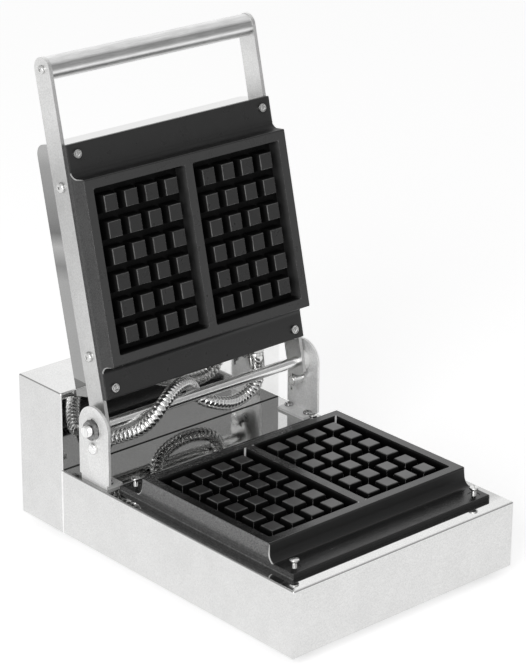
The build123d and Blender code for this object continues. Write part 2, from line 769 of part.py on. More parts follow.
# Route of the conduit between its glands: X with the lid gland at ROUTE_X,
# then Y and Z from the hinge axis
ROUTE_X = 90.0
CONDUIT_ROUTE = [
    (84.0, 13.5, -18.8),
    (73.0, 13.0, -25.8),
    (57.5, 10.0, -28.0),
    (43.0, 7.0, -26.5),
    (30.0, 5.0, -22.3),
    (17.0, 6.0, -17.1),
    (5.0, 9.5, -11.8),
    (-2.0, 14.3, -5.3),
    (-5.0, 15.3, 2.2),
    (-12.5, 12.0, 9.7),
    (-21.5, 6.0, 15.2),
    (-35.5, -2.5, 18.0),
    (-48.0, -9.0, 17.2),
    (-59.0, -14.2, 13.5),
    (-69.0, -17.2, 8.2),
    (-77.5, -16.8, 1.0),
    (-84.5, -13.8, -6.3),
    (-92.0, -8.2, -13.0),
    (-101.0, 2.0, -18.8),
    (-109.5, 13.5, -24.5),
]


def conduit_points():
    mouth = lid_point(LID_GLAND_X, LID_V0 - LID_GLAND_L, LID_GLAND_W)
    below = lid_point(LID_GLAND_X, LID_V0 - LID_GLAND_L - 8.0, LID_GLAND_W)
    end_y = DECK_D - BOX_GLAND_L
    spread = LID_GLAND_X / ROUTE_X
    middle = [(x * spread, HINGE_Y + y, HINGE_Z + z) for x, y, z in CONDUIT_ROUTE]
    before_end = (BOX_GLAND_X, end_y - 9.0, BOX_GLAND_Z)
    end = (BOX_GLAND_X, end_y, BOX_GLAND_Z)
    return [mouth, below] + middle + [before_end, end]


def turn_radii(points):
    """Each bend takes 45 % of the shorter run beside it."""
    radii = []
    for a, b, c in zip(points, points[1:], points[2:]):
        first = Vector(*b) - Vector(*a)
        second = Vector(*c) - Vector(*b)
        run = min(first.length, second.length)
        bend = radians(first.get_angle(second))
        radii.append(min(0.45 * run / tan(bend / 2), 120.0))
    return radii


def flex_conduit():
    points = conduit_points()
    radii = turn_radii(points)
    path = FilletPolyline(*points, radius=radii)
    start = Plane(origin=path @ 0, z_dir=path % 0)
    tube = sweep(start * (Circle(CONDUIT_R) - Circle(CONDUIT_BORE)), path=path)
    section = pi * (CONDUIT_R ** 2 - CONDUIT_BORE ** 2)
    print("conduit length", round(path.length, 1), "radii", [round(r, 1) for r in radii])
    print("conduit volume", round(tube.volume), "of", round(section * path.length))
    return tube


# Controls

def dial_body(z):
    # Square case behind the wall, threaded neck through it, shaft for the knob
    case = block(IN_X - 34, IN_X, DIAL_Y - 17, DIAL_Y + 17, z - 19, z + 19)
    neck = rod((IN_X, DIAL_Y, z), RIGHT, 5.0, SHEET)
    shaft = rod((HALF, DIAL_Y, z), RIGHT, SHAFT_R, SHAFT_L)
    return case + neck + shaft


def knob(z):
    start = (HALF + KNOB_GAP, DIAL_Y, z)
    skirt = rod(start, RIGHT, KNOB_R, KNOB_SKIRT)
    grip_x = HALF + KNOB_GAP + KNOB_SKIRT
    circle = Plane(origin=(grip_x, DIAL_Y, z), z_dir=RIGHT) * Circle(KNOB_GRIP_R)
    grip = extrude(circle, KNOB_REACH - KNOB_GAP - KNOB_SKIRT, taper=4.0)
    rim = skirt.faces().sort_by(Axis.X)[-1].edges()
    skirt = chamfer(rim, 1.2)
    body = skirt + grip
    body += block(grip_x, HALF + KNOB_REACH, DIAL_Y - 2.5, DIAL_Y + 2.5, z, z + KNOB_GRIP_R + 1.5)
    body -= rod(start, RIGHT, SHAFT_R + RUN_FIT, SHAFT_L + 0.2)
    return body


def rocker():
    x = HALF + 0.5
    radius = 11.0
    disc = Circle(radius)
    keep = make_face(Polyline(
        (-4.0, -12.0),
        (-4.0, 12.0),
        (2.0 + 12.0 * tan(radians(ROCKER_TILT)), 12.0),
        (2.0, 0.0),
        (2.0 + 12.0 * tan(radians(ROCKER_TILT)), -12.0),
        close=True,
    ))
    shape = disc & keep
    plane = Plane(origin=(0, 0, 0), x_dir=(1, 0, 0), z_dir=(0, -1, 0))
    body = extrude(plane * shape, 6.0, both=True)
    body += rod((0, -7.2, 0), BACK, 1.5, 14.4)
    return Pos(x, DIAL_Y, SWITCH_Z) * Rot(0, ROCKER_TILT, 0) * body


def switch_body():
    bezel = block(HALF, HALF + 1.8, DIAL_Y - 10.5, DIAL_Y + 10.5, SWITCH_Z - 16, SWITCH_Z + 16)
    bezel = chamfer(bezel.faces().sort_by(Axis.X)[-1].edges(), 0.6)
    case = block(HALF - 22.0, HALF, DIAL_Y - 8.8, DIAL_Y + 8.8, SWITCH_Z - 13.8, SWITCH_Z + 13.8)
    body = bezel + case
    body -= block(HALF - 6.2, HALF + 1.8, DIAL_Y - 6.2, DIAL_Y + 6.2, SWITCH_Z - 11.3, SWITCH_Z + 11.3)
    body -= rod((HALF + 0.5, DIAL_Y - 7.4, SWITCH_Z), BACK, 1.55, 14.8)
    return body


def pilot_lamp(z):
    lens = rod((HALF, LAMP_Y, z), RIGHT, 5.0, 3.0)
    lens = fillet(lens.faces().sort_by(Axis.X)[-1].edges(), 1.5)
    barrel = rod((HALF - 18.0, LAMP_Y, z), RIGHT, 4.0, 18.0)
    return lens + barrel


def terminal_block():
    y = WIRING_Y
    top = FOOT_H + 16
    base = block(TERMINAL_X, TERMINAL_X + TERMINAL_L, y, y + 18, FOOT_H, top)
    for i in range(5):
        x = TERMINAL_X + 7.0 + i * 14.0
        base -= block(x - 4, x + 4, y, y + 6, top - 8, top)
        base -= block(x - 4, x + 4, y + 12, y + 18, top - 8, top)
    return base


def contactor():
    x = CONTACTOR_X
    y = WIRING_Y
    low = block(x, x + 50, y, y + 46, FOOT_H, FOOT_H + 26)
    high = block(x + 6, x + 44, y + 6, y + 40, FOOT_H + 26, FOOT_H + 46)
    return low + high


def cable_gland():
    start = (GLAND_X, BACK_Y, GLAND_Z)
    body = hexagon(start, BACK, 22.0, 6.0)
    dome = rod((GLAND_X, BACK_Y + 6.0, GLAND_Z), BACK, 10.0, GLAND_REACH - 6.0)
    dome = fillet(dome.faces().sort_by(Axis.Y)[-1].edges(), 3.0)
    body += dome
    body += rod(start, FRONT, 8.0, 9.0)
    body -= rod((GLAND_X, BACK_Y - 9.0, GLAND_Z), BACK, 4.5, GLAND_REACH + 9.0)
    return body


def gland_nut():
    start = (GLAND_X, BACK_Y - SHEET, GLAND_Z)
    return nut(start, FRONT, 22.0, 8.1, 5.0)


def bonding_stud():
    # Stud with a flange welded inside the back panel, nut run down outside
    flange = rod((STUD_X, BACK_Y - SHEET, STUD_Z), FRONT, 6.0, 1.5)
    stem = rod((STUD_X, BACK_Y - SHEET, STUD_Z), BACK, 3.0, 17.0)
    collar = hexagon((STUD_X, BACK_Y, STUD_Z), BACK, 10.0, 5.0)
    return flange + stem + collar


# Base body
node("base_housing", base_housing())
node("control_box_shell", control_box_shell())
node("back_panel", back_panel())
node("base_plate", base_plate())
node("rubber_feet", [rubber_foot(x, y) for x, y in foot_spots()])
node("foot_screws", [foot_screw(x, y) for x, y in foot_spots()])
PANEL_SCREWS = [base_plate_screw(x, y) for x, y in base_plate_screw_spots()]
PANEL_SCREWS += [back_panel_screw(x, z) for x, z in back_screw_spots()]
node("panel_screws", PANEL_SCREWS)
FIXING_NUTS = [foot_nut(x, y) for x, y in foot_spots()]
FIXING_NUTS += [deck_nut(x, y) for x, y in plate_screw_spots() + bracket_screw_spots()]
node("fixing_nuts", FIXING_NUTS)

PLATE = casting()
node("lower_plate", on_lower(PLATE))
node("lower_plate_screws", [lower_plate_screw(x, y) for x, y in plate_screw_spots()])
node("lower_heating_element", on_lower(heating_element()))
node("lower_heater_clamp", on_lower(heater_clamp()))
node("lower_clamp_bolts", [on_lower(b) for b in clamp_bolts()])
node("lower_insulation", on_lower(wool_slab()))
node("lower_heat_shield", on_lower(heat_shield()))
node("lower_sensor_bulb", on_lower(sensor_bulb()))

node("hinge_bracket_left", hinge_bracket(-1))
node("hinge_bracket_right", hinge_bracket(1))
node("bracket_screws", [bracket_screw(x, y) for x, y in bracket_screw_spots()])
node("hinge_rod", hinge_rod())
node("hinge_washers", both_sides(hinge_washer))
node("hinge_nuts", both_sides(hinge_nut))
node("hinge_spacers", both_sides(hinge_spacer))
node("stop_pins", both_sides(stop_pin))
node("stop_pin_nuts", both_sides(stop_pin_nut))
node("retaining_clips", both_sides(retaining_clip))

node("box_conduit_gland", box_gland())
node("box_gland_nut", box_gland_nut())
node("flex_conduit", flex_conduit())

node("thermostat_body", dial_body(THERMOSTAT_Z))
node("timer_body", dial_body(TIMER_Z))
node("switch_body", switch_body())
node("pilot_lamps", [pilot_lamp(THERMOSTAT_Z), pilot_lamp(TIMER_Z)])
node("terminal_block", terminal_block())
node("contactor", contactor())
node("cable_gland", cable_gland())
node("cable_gland_nut", gland_nut())
node("bonding_stud", bonding_stud())

# Controls that move
node("thermostat_knob", knob(THERMOSTAT_Z))
node("timer_knob", knob(TIMER_Z))
node("power_rocker", rocker())

# Lid body
node("lid_shell", lid_shell())
node("lid_arm_left", lid_arm(-1))
node("lid_arm_right", lid_arm(1))
node("arm_screws", arm_screws())
node("arm_nuts", arm_nuts())
node("handle_tube", handle_tube())
node("handle_plugs", both_sides(handle_plug))
node("handle_screws", both_sides(handle_screw))
node("upper_plate", on_upper(PLATE))
corners = [(sx, sy) for sx in (-1, 1) for sy in (-1, 1)]
node("upper_plate_screws", [upper_plate_screw(sx, sy) for sx, sy in corners])
node("upper_plate_nuts", [upper_plate_nut(sx, sy) for sx, sy in corners])
node("upper_heating_element", on_upper(heating_element()))
node("upper_heater_clamp", on_upper(heater_clamp()))
node("upper_clamp_bolts", [on_upper(b) for b in clamp_bolts()])
node("upper_insulation", on_upper(wool_slab()))
node("upper_sensor_bulb", on_upper(sensor_bulb()))
node("lid_conduit_gland", lid_gland())
node("lid_gland_nut", lid_gland_nut())

for name, shape in NODES.items():
    print(name, len(shape.solids()), round(shape.volume))
print("nodes", len(NODES))
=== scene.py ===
import json
from collections import namedtuple
from math import cos, pi, radians, sin

import bmesh
import bpy
from mathutils import Matrix, Quaternion, Vector


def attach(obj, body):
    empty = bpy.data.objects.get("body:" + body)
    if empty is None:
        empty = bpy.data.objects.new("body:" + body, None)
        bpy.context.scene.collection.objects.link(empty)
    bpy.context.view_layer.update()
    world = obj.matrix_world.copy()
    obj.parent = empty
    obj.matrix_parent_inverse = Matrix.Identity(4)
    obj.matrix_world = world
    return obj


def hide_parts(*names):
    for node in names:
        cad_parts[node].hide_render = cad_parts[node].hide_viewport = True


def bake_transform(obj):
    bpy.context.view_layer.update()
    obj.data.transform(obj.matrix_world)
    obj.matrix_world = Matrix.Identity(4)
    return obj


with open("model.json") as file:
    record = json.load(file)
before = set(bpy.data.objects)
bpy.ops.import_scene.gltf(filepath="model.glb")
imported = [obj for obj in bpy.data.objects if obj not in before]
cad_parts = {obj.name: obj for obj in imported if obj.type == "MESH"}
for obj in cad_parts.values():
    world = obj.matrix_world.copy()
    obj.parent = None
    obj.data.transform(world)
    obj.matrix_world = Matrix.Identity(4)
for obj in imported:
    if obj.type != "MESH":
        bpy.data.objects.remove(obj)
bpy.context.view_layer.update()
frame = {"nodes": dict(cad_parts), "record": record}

# Lengths are in millimetres: X from the machine's middle, Y from its front panel, Z from the table.
# On the lid, V runs up from the hinge and W toward the baking face.
# The frame is in metres, with its origin under the middle of the outer box.
MM = 0.001
SHIFT = Vector((-7.9, -224.0, 0.0))
MIDDLE_X = SHIFT.x * MM

HALF = 150.0
DECK_Z = 81.5
BOX_Y = 357.0
BOX_Z = 167.5
BACK_Y = 428.0
BRACKET_FACE = 144.5
HINGE = Vector((0.0, 310.0, 142.3))
STOP_Z = 121.3
LEAN = radians(13.1)
PLATE_Y = 150.5
PLATE_H = 24.4
LEDGE = 5.3
SCREW_X = 122.0
SCREW_L = 120.5
LID_SIDE = 131.0
LID_MIDDLE = 159.5
LID_PLATE_W = 10.9
ARM_FACE = 135.0
HANDLE_V, HANDLE_W = 367.1, -1.6
LID_GLAND_X, LID_GLAND_W = 90.0, -15.0
BOX_GLAND_X, BOX_GLAND_Z = -116.0, 111.6
INLET = (-95.0, BACK_Y, 48.0)

LEFT = (-1.0, 0.0, 0.0)
RIGHT = (1.0, 0.0, 0.0)
FRONT = (0.0, -1.0, 0.0)
BACK = (0.0, 1.0, 0.0)
UP = (0.0, 0.0, 1.0)
DOWN = (0.0, 0.0, -1.0)


def at(x, y, z):
    return (Vector((x, y, z)) + SHIFT) * MM


def lid(x, v, w):
    """A point of the lid."""
    y = HINGE.y + v * sin(LEAN) - w * cos(LEAN)
    z = HINGE.z + v * cos(LEAN) + w * sin(LEAN)
    return at(x, y, z)


def lid_way(x, v, w):
    """A direction of the lid."""
    return Vector((x, v * sin(LEAN) - w * cos(LEAN), v * cos(LEAN) + w * sin(LEAN)))


LID_FACE = lid_way(0.0, 0.0, 1.0)
LID_RISE = lid_way(0.0, 1.0, 0.0)


def up_lid(v):
    """How far a height on the lid lies along the lid's rise, in metres."""
    return LID_RISE.dot(lid(0, v, 0))


def add_object(name, data):
    obj = bpy.data.objects.new(name, data)
    bpy.context.scene.collection.objects.link(obj)
    return obj


# Camera, fitted to points measured in the photograph

PHOTO_W, PHOTO_H = 526.0, 667.0
AZ, EL, ROLL = radians(42.526), radians(21.030), radians(0.713)
AIM = (-0.013, 150.016, 297.289)
DISTANCE = 2.533242
FOCAL_PX = 2574.755
CENTRE_PX = (307.002, 296.322)
SENSOR = 36.0


def camera():
    back = Vector((-sin(AZ) * cos(EL), -cos(AZ) * cos(EL), sin(EL)))
    right = Vector((cos(AZ), -sin(AZ), 0.0))
    up = back.cross(right)
    right, up = right * cos(ROLL) + up * sin(ROLL), up * cos(ROLL) - right * sin(ROLL)
    spot = at(*AIM) + back * DISTANCE
    data = bpy.data.cameras.new("camera")
    data.sensor_fit = "HORIZONTAL"
    data.sensor_width = SENSOR
    data.lens = SENSOR * FOCAL_PX / PHOTO_W
    data.shift_x = (PHOTO_W / 2 - CENTRE_PX[0]) / PHOTO_W
    data.shift_y = (CENTRE_PX[1] - PHOTO_H / 2) / PHOTO_W
    data.clip_start = 0.1
    data.clip_end = 50.0
    cam = add_object("camera", data)
    cam.matrix_world = Matrix((
        (right.x, up.x, back.x, spot.x),
        (right.y, up.y, back.y, spot.y),
        (right.z, up.z, back.z, spot.z),
        (0.0, 0.0, 0.0, 1.0),
    ))
    bpy.context.scene.camera = cam


camera()


# Shader nodes

def add(tree, kind, inputs=None, **settings):
    """A new node. An input that is given a socket is linked to it, any other takes the value."""
    node = tree.nodes.new("ShaderNode" + kind)
    for label, value in settings.items():
        setattr(node, label, value)
    for label, value in (inputs or {}).items():
        if isinstance(value, bpy.types.NodeSocket):
            tree.links.new(value, node.inputs[label])
        else:
            node.inputs[label].default_value = value
    return node


def maths(tree, operation, *values):
    return add(tree, "Math", dict(enumerate(values)), operation=operation).outputs[0]


def reach(tree, spot, way):
    """How far a point lies along a direction."""
    return add(tree, "VectorMath", {0: spot, 1: way}, operation="DOT_PRODUCT").outputs["Value"]


def share(tree, value, low, high):
    """Where a value lies between two others, from 0 to 1."""
    return add(tree, "MapRange", {"Value": value, "From Min": low, "From Max": high}).outputs["Result"]


def off_middle(tree, spot):
    """How far a point lies from the machine's middle plane."""
    x = add(tree, "SeparateXYZ", {0: spot}).outputs["X"]
    return maths(tree, "ABSOLUTE", maths(tree, "SUBTRACT", x, MIDDLE_X))


def noise(tree, spot, scale, detail, rough):
    return add(tree, "TexNoise", {"Vector": spot, "Scale": scale, "Detail": detail, "Roughness": rough}).outputs[0]


def bump(tree, strength, height, distance, **below):
    return add(tree, "Bump", {"Strength": strength, "Height": height, "Distance": distance, **below}).outputs[0]


def triple(value):
    """One number stands for three equal ones."""
    return value if hasattr(value, "__len__") else (value, value, value)


def ramp(tree, source, stops):
    node = add(tree, "ValToRGB", {0: source})
    places = node.color_ramp.elements
    while len(places) < len(stops):
        places.new(0.5)
    for element, (spot, value) in zip(places, stops):
        element.position = spot
        element.color = (*triple(value), 1.0)
    return node.outputs[0]


def mix(tree, factor, first, second, kind="MIX"):
    values = {"Factor": factor, "A": first, "B": second}
    return add(tree, "Mix", values, data_type="RGBA", blend_type=kind).outputs["Result"]


def shaded(tree, colour, shade):
    return mix(tree, 1.0, colour, shade, "MULTIPLY")


# Surroundings: a white studio with three soft cards, a pale floor, and two lamps

def card(tree, spot, way, inner, outer, strength):
    """The light from one direction changes softly between two angles round it."""
    toward = reach(tree, spot, Vector(way).normalized())
    values = {"Value": toward, "From Min": cos(radians(outer)), "From Max": cos(radians(inner)),
              "To Min": 1.0, "To Max": strength}
    return add(tree, "MapRange", values, interpolation_type="SMOOTHSTEP").outputs["Result"]


def studio():
    world = bpy.data.worlds.new("studio")
    bpy.context.scene.world = world
    world.use_nodes = True
    tree = world.node_tree
    tree.nodes.clear()
    path = add(tree, "LightPath").outputs
    spot = add(tree, "TexCoord").outputs["Generated"]
    strength = maths(tree, "MULTIPLY", card(tree, spot, (0.64, -0.70, 0.30), 22.0, 38.0, 0.50),
                     card(tree, spot, (-0.36, 0.69, 0.63), 9.0, 18.0, 0.25))
    strength = maths(tree, "MULTIPLY", strength, card(tree, spot, (0.62, 0.71, 0.34), 14.0, 40.0, 1.45))
    plain = add(tree, "Background", {"Strength": 0.62}).outputs[0]
    glossy = add(tree, "Background", {"Strength": strength}).outputs[0]
    white = add(tree, "Background").outputs[0]
    seen = maths(tree, "MAXIMUM", path["Is Camera Ray"], path["Is Transmission Ray"])
    unseen = add(tree, "MixShader", {0: path["Is Glossy Ray"], 1: plain, 2: glossy}).outputs[0]
    whole = add(tree, "MixShader", {0: seen, 1: unseen, 2: white}).outputs[0]
    add(tree, "OutputWorld", {"Surface": whole})
    bpy.context.scene.view_settings.view_transform = "Standard"


def empty_material(name):
    mat = bpy.data.materials.new(name)
    mat.use_nodes = True
    mat.node_tree.nodes.clear()
    return mat, mat.node_tree


def floor():
    bpy.ops.object.select_all(action="DESELECT")
    bpy.ops.mesh.primitive_plane_add(size=12.0, location=(0, 0, 0))
    obj = bpy.context.object
    obj.name = "floor"
    mat, tree = empty_material("floor")
    matt = add(tree, "BsdfDiffuse", {"Color": (0.82, 0.82, 0.82, 1.0)}).outputs[0]
    glow = add(tree, "Emission", {"Strength": 0.54}).outputs[0]
    both = add(tree, "AddShader", {0: matt, 1: glow}).outputs[0]
    add(tree, "OutputMaterial", {"Surface": both})
    obj.data.materials.append(mat)


def area_light(name, spot, aim, size, power):
    data = bpy.data.lights.new(name, "AREA")
    data.shape = "RECTANGLE"
    data.size, data.size_y = size
    data.energy = power
    lamp = add_object(name, data)
    lamp.location = spot
    lamp.rotation_euler = (Vector(aim) - Vector(spot)).to_track_quat("-Z", "Y").to_euler()


studio()
floor()
area_light("key", (-2.2, -1.1, 1.5), (0, 0, 0.2), (1.2, 1.2), 20.0)
area_light("edge", (-2.16, -1.98, 0.50), (0, 0, 0.2), (0.5, 0.9), 10.0)


# Node groups that the materials share

def start_group(name, **inputs):
    group = bpy.data.node_groups.new(name, "ShaderNodeTree")
    group.interface.new_socket("Vector", in_out="INPUT", socket_type="NodeSocketVector")
    for label, value in inputs.items():
        kind = "NodeSocketFloat" if isinstance(value, float) else "NodeSocketVector"
        group.interface.new_socket(label, in_out="INPUT", socket_type=kind).default_value = value
    return group, group.nodes.new("NodeGroupInput").outputs


def end_group(group, **results):
    for label in results:
        kind = "NodeSocketVector" if label == "Normal" else "NodeSocketFloat"
        group.interface.new_socket(label, in_out="OUTPUT", socket_type=kind)
    end = group.nodes.new("NodeGroupOutput")
    for label, source in results.items():
        group.links.new(source, end.inputs[label])
    return group


def brushed_group():
    """Fine parallel grain, faint broad clouding, and smudges."""
    group, given = start_group("brushed", Stretch=(900.0, 12.0, 900.0), Depth=0.05)
    spot = given["Vector"]
    drawn = add(group, "VectorMath", {0: spot, 1: given["Stretch"]}, operation="MULTIPLY").outputs[0]
    grain = noise(group, drawn, 1.0, 4.0, 0.65)
    cloud = noise(group, spot, 34.0, 3.0, 0.55)
    smudge = noise(group, spot, 9.0, 5.0, 0.6)
    normal = bump(group, given["Depth"], grain, 0.0002)
    return end_group(group, Grain=grain, Cloud=cloud, Smudge=smudge, Normal=normal)


def cast_group():
    """Sand-cast skin: fine pits, soft lumps."""
    group, given = start_group("cast_skin", Depth=0.3)
    pits = noise(group, given["Vector"], 900.0, 5.0, 0.7)
    lumps = noise(group, given["Vector"], 60.0, 4.0, 0.5)
    soft = bump(group, 0.07, lumps, 0.0006)
    normal = bump(group, given["Depth"], pits, 0.0003, Normal=soft)
    return end_group(group, Pits=pits, Lumps=lumps, Normal=normal)


FLANK_EDGE = (0.1322, 0.1326)


def zones_group():
    """How deep a point lies below a casting's face, and whether it lies on the outer flanks."""
    group, given = start_group("casting_zones", Way=(0, 0, 1), Face=0.1)
    spot = given["Vector"]
    depth = maths(group, "SUBTRACT", given["Face"], reach(group, spot, given["Way"]))
    return end_group(group, Depth=depth, Flank=share(group, off_middle(group, spot), *FLANK_EDGE))


BRUSHED = brushed_group()
CAST = cast_group()
ZONES = zones_group()


def start_material(name):
    mat, tree = empty_material(name)
    bsdf = add(tree, "BsdfPrincipled")
    add(tree, "OutputMaterial", {"Surface": bsdf.outputs[0]})
    return mat, tree, bsdf.inputs, add(tree, "TexCoord").outputs["Object"]


def use_group(tree, group, spot, **values):
    return add(tree, "Group", {"Vector": spot, **values}, node_tree=group).outputs


def wire(tree, surface, colour, rough, normal):
    tree.links.new(colour, surface["Base Color"])
    tree.links.new(rough, surface["Roughness"])
    tree.links.new(normal, surface["Normal"])


# Metals

def steel(value):
    """Steel is slightly warmer than grey."""
    return (value, value, value - 0.005)


def metal(name, base, rough, stretch, depth, spread=0.08, cloud=0.03, polish=1.0):
    """Metal with a directional grain: its colour, roughness and normal all vary with it."""
    mat, tree, surface, spot = start_material(name)
    skin = use_group(tree, BRUSHED, spot, Stretch=triple(stretch), Depth=depth)
    dark = tuple(c * (1.0 - spread) for c in triple(base))
    light = tuple(min(1.0, c * (1.0 + spread * 0.5)) for c in triple(base))
    grain = ramp(tree, skin["Grain"], [(0.3, dark), (0.7, light)])
    cloudy = ramp(tree, skin["Cloud"], [(0.35, 1.0 - cloud), (0.62, 1.0)])
    smudge = ramp(tree, skin["Smudge"], [(0.35, rough * 0.8), (0.7, rough * 1.3)])
    wire(tree, surface, shaded(tree, grain, cloudy), smudge, skin["Normal"])
    surface["Metallic"].default_value = polish
    return mat


def panel(name, shade=0.722, rough=0.045):
    """Bright sheet with a fine grain."""
    return metal(name, steel(shade), rough, (750.0, 1100.0, 1100.0), 0.005, 0.16, 0.04)


def satin(name, shade, stretch=(900.0, 900.0, 700.0)):
    return metal(name, steel(shade), 0.34, stretch, 0.03, 0.20, 0.07)


def taken_up(mat):
    """A finished material's tree, the place of its points, its colour, and the socket that takes the colour."""
    tree = mat.node_tree
    bsdf = next(n for n in tree.nodes if n.type == "BSDF_PRINCIPLED")
    spot = next(n for n in tree.nodes if n.type == "TEX_COORD").outputs["Object"]
    socket = bsdf.inputs["Base Color"]
    return tree, spot, socket.links[0].from_socket, socket


def painted_light_along(mat, way, low, high, stops):
    """Painted light and shade: a metal's colour takes a shade that changes along one direction."""
    tree, spot, colour, socket = taken_up(mat)
    shade = ramp(tree, share(tree, reach(tree, spot, way), low, high), stops)
    tree.links.new(shaded(tree, colour, shade), socket)
    return mat


def deck_painted_shade(mat, shade):
    """The deck is painted darker behind its front strip: painted shade."""
    tree, spot, colour, socket = taken_up(mat)
    parts = add(tree, "SeparateXYZ", {0: spot}).outputs
    raised = share(tree, parts["Z"], (DECK_Z - 0.4) * MM, (DECK_Z - 0.2) * MM)
    behind = share(tree, parts["Y"], at(0, 12.0, 0).y, at(0, 24.0, 0).y)
    painted_darkening = ramp(tree, maths(tree, "MULTIPLY", raised, behind), [(0.0, 1.0), (1.0, shade)])
    tree.links.new(shaded(tree, colour, painted_darkening), socket)
    return mat


def sides_painted_reflections(mat, low, high, stops):
    """Painted reflection: the lid's outer sides take on, in their colour, the soft bands that they mirror from
    below.
    """
    tree, spot, colour, socket = taken_up(mat)
    outside = share(tree, off_middle(tree, spot), LID_SIDE * MM - 0.0004, LID_SIDE * MM - 0.0001)
    painted_bands = ramp(tree, share(tree, reach(tree, spot, LID_RISE), low, high), stops)
    tree.links.new(mix(tree, outside, colour, shaded(tree, colour, painted_bands)), socket)
    return mat


# Castings and moulded stuff

# fall is painted light and shade down a casting's flank: on the lower casting a dark band, then a painted
# highlight line at its foot.
Casting = namedtuple("Casting", "way face flank fall run middle")
LOWER = Casting(
    way=Vector(UP), face=(DECK_Z + PLATE_H) * MM, flank=0.125, run=Vector(BACK), middle=at(0, PLATE_Y, 0).y,
    fall=[(0.0, 0.42), (0.54, 0.42), (0.68, 0.18), (0.96, 0.20), (0.972, 0.46), (1.0, 0.34)],
)
UPPER = Casting(
    way=LID_FACE, face=LID_FACE.dot(lid(0.0, 0.0, LID_PLATE_W + PLATE_H)), flank=0.038, run=LID_RISE,
    middle=up_lid(LID_MIDDLE), fall=[(0.0, 0.42), (1.0, 0.40)],
)
# Painted shade: the colour between the studs, far darker than the stud tops.
PAINTED_SHADE_BETWEEN_STUDS = 0.006


def start_casting(name, casting, depth):
    mat, tree, surface, spot = start_material(name)
    skin = use_group(tree, CAST, spot, Depth=depth)
    zone = use_group(tree, ZONES, spot, Way=casting.way, Face=casting.face)
    return mat, tree, surface, skin, zone


def casting_finish(name, casting, top, rough, shine, depth=0.3):
    """Seasoned cast iron: a satin face, painted shade that makes it nearly black between the studs, and a grainy
    flank painted paler for the light that falls on it, with bands of painted shade and highlight down it.
    """
    mat, tree, surface, skin, zone = start_casting(name, casting, depth)
    pits, lumps, flank = skin["Pits"], skin["Lumps"], casting.flank
    level = share(tree, zone["Depth"], 0.0, 0.020)
    # Below the stud tops the colour turns to painted shade; the flank's paleness is partly painted light.
    between = ramp(tree, level, [(0.055, 0.0), (0.10, 1.0), (0.90, 1.0), (0.935, 0.0)])
    face_tone = ramp(tree, pits, [(0.35, top * 0.9), (0.7, top * 1.12)])
    deep_painted_shade = ramp(tree, lumps, [(0.3, PAINTED_SHADE_BETWEEN_STUDS * 0.7), (0.7, PAINTED_SHADE_BETWEEN_STUDS * 1.2)])
    side_tone = ramp(tree, pits, [(0.40, flank * 1.1), (0.60, flank * 4.0)])
    flank_painted_fall = ramp(tree, share(tree, zone["Depth"], 0.0, PLATE_H * MM), casting.fall)
    tone = mix(tree, between, face_tone, deep_painted_shade)
    tone = mix(tree, zone["Flank"], tone, shaded(tree, side_tone, flank_painted_fall))
    face_rough = ramp(tree, lumps, [(0.3, rough * 0.85), (0.7, rough * 1.15)])
    deep_rough = ramp(tree, lumps, [(0.3, 0.45), (0.7, 0.6)])
    wire(tree, surface, tone, mix(tree, between, face_rough, deep_rough), skin["Normal"])
    surface["Specular IOR Level"].default_value = shine
    return mat


def depth_painted_finish(name, casting, tones, rough, shine):
    """Painted light and shade: the colour of the studs' walls and corners changes with depth through three tones.
    """
    mat, tree, surface, skin, zone = start_casting(name, casting, 0.3)
    level = share(tree, zone["Depth"], 0.001, 0.011)
    fall = ramp(tree, level, list(zip((0.0, 0.2, 0.6), tones)))
    mottle = ramp(tree, skin["Lumps"], [(0.3, 0.6), (0.7, 1.0)])
    rough_skin = ramp(tree, skin["Pits"], [(0.3, rough * 0.9), (0.7, rough * 1.15)])
    wire(tree, surface, shaded(tree, fall, mottle), rough_skin, skin["Normal"])
    surface["Specular IOR Level"].default_value = shine
    return mat


def moulded(name, dark, light, rough, depth=0.12):
    """Plastic, rubber or wool: mottled colour and a fine skin."""
    mat, tree, surface, spot = start_material(name)
    skin = use_group(tree, CAST, spot, Depth=depth)
    colour = ramp(tree, skin["Lumps"], [(0.3, dark), (0.7, light)])
    rough_skin = ramp(tree, skin["Pits"], [(0.3, rough * 0.85), (0.7, rough * 1.1)])
    wire(tree, surface, colour, rough_skin, skin["Normal"])
    return mat


MATERIALS = {
    "steel_panel": panel("steel_panel"),
    "steel_bright": satin("steel_bright", 0.75),
    "steel_inner": metal("steel_inner", 0.5, 0.4, (300.0, 300.0, 60.0), 0.08),
    "zinc": metal("zinc", steel(0.68), 0.17, 400.0, 0.03),
    "cast_black": casting_finish("cast_black", LOWER, 0.015, 0.24, 0.36),
    "heater": metal("heater", (0.3, 0.27, 0.24), 0.45, 200.0, 0.1, 0.2),
    "wool": moulded("wool", (0.55, 0.52, 0.42), (0.72, 0.7, 0.6), 0.95, 0.5),
    "conduit": metal("conduit", steel(0.76), 0.17, 500.0, 0.01, 0.10),
    "nickel": metal("nickel", (0.72, 0.72, 0.71), 0.10, 500.0, 0.05),
    "white_plastic": moulded("white_plastic", (0.84, 0.84, 0.83), (0.91, 0.91, 0.90), 0.45),
    "black_plastic": moulded("black_plastic", (0.02, 0.02, 0.022), (0.035, 0.035, 0.037), 0.4),
    "rubber": moulded("rubber", 0.014, 0.03, 0.75),
    "lamp_lens": moulded("lamp_lens", (0.62, 0.2, 0.03), (0.75, 0.3, 0.06), 0.25),
}
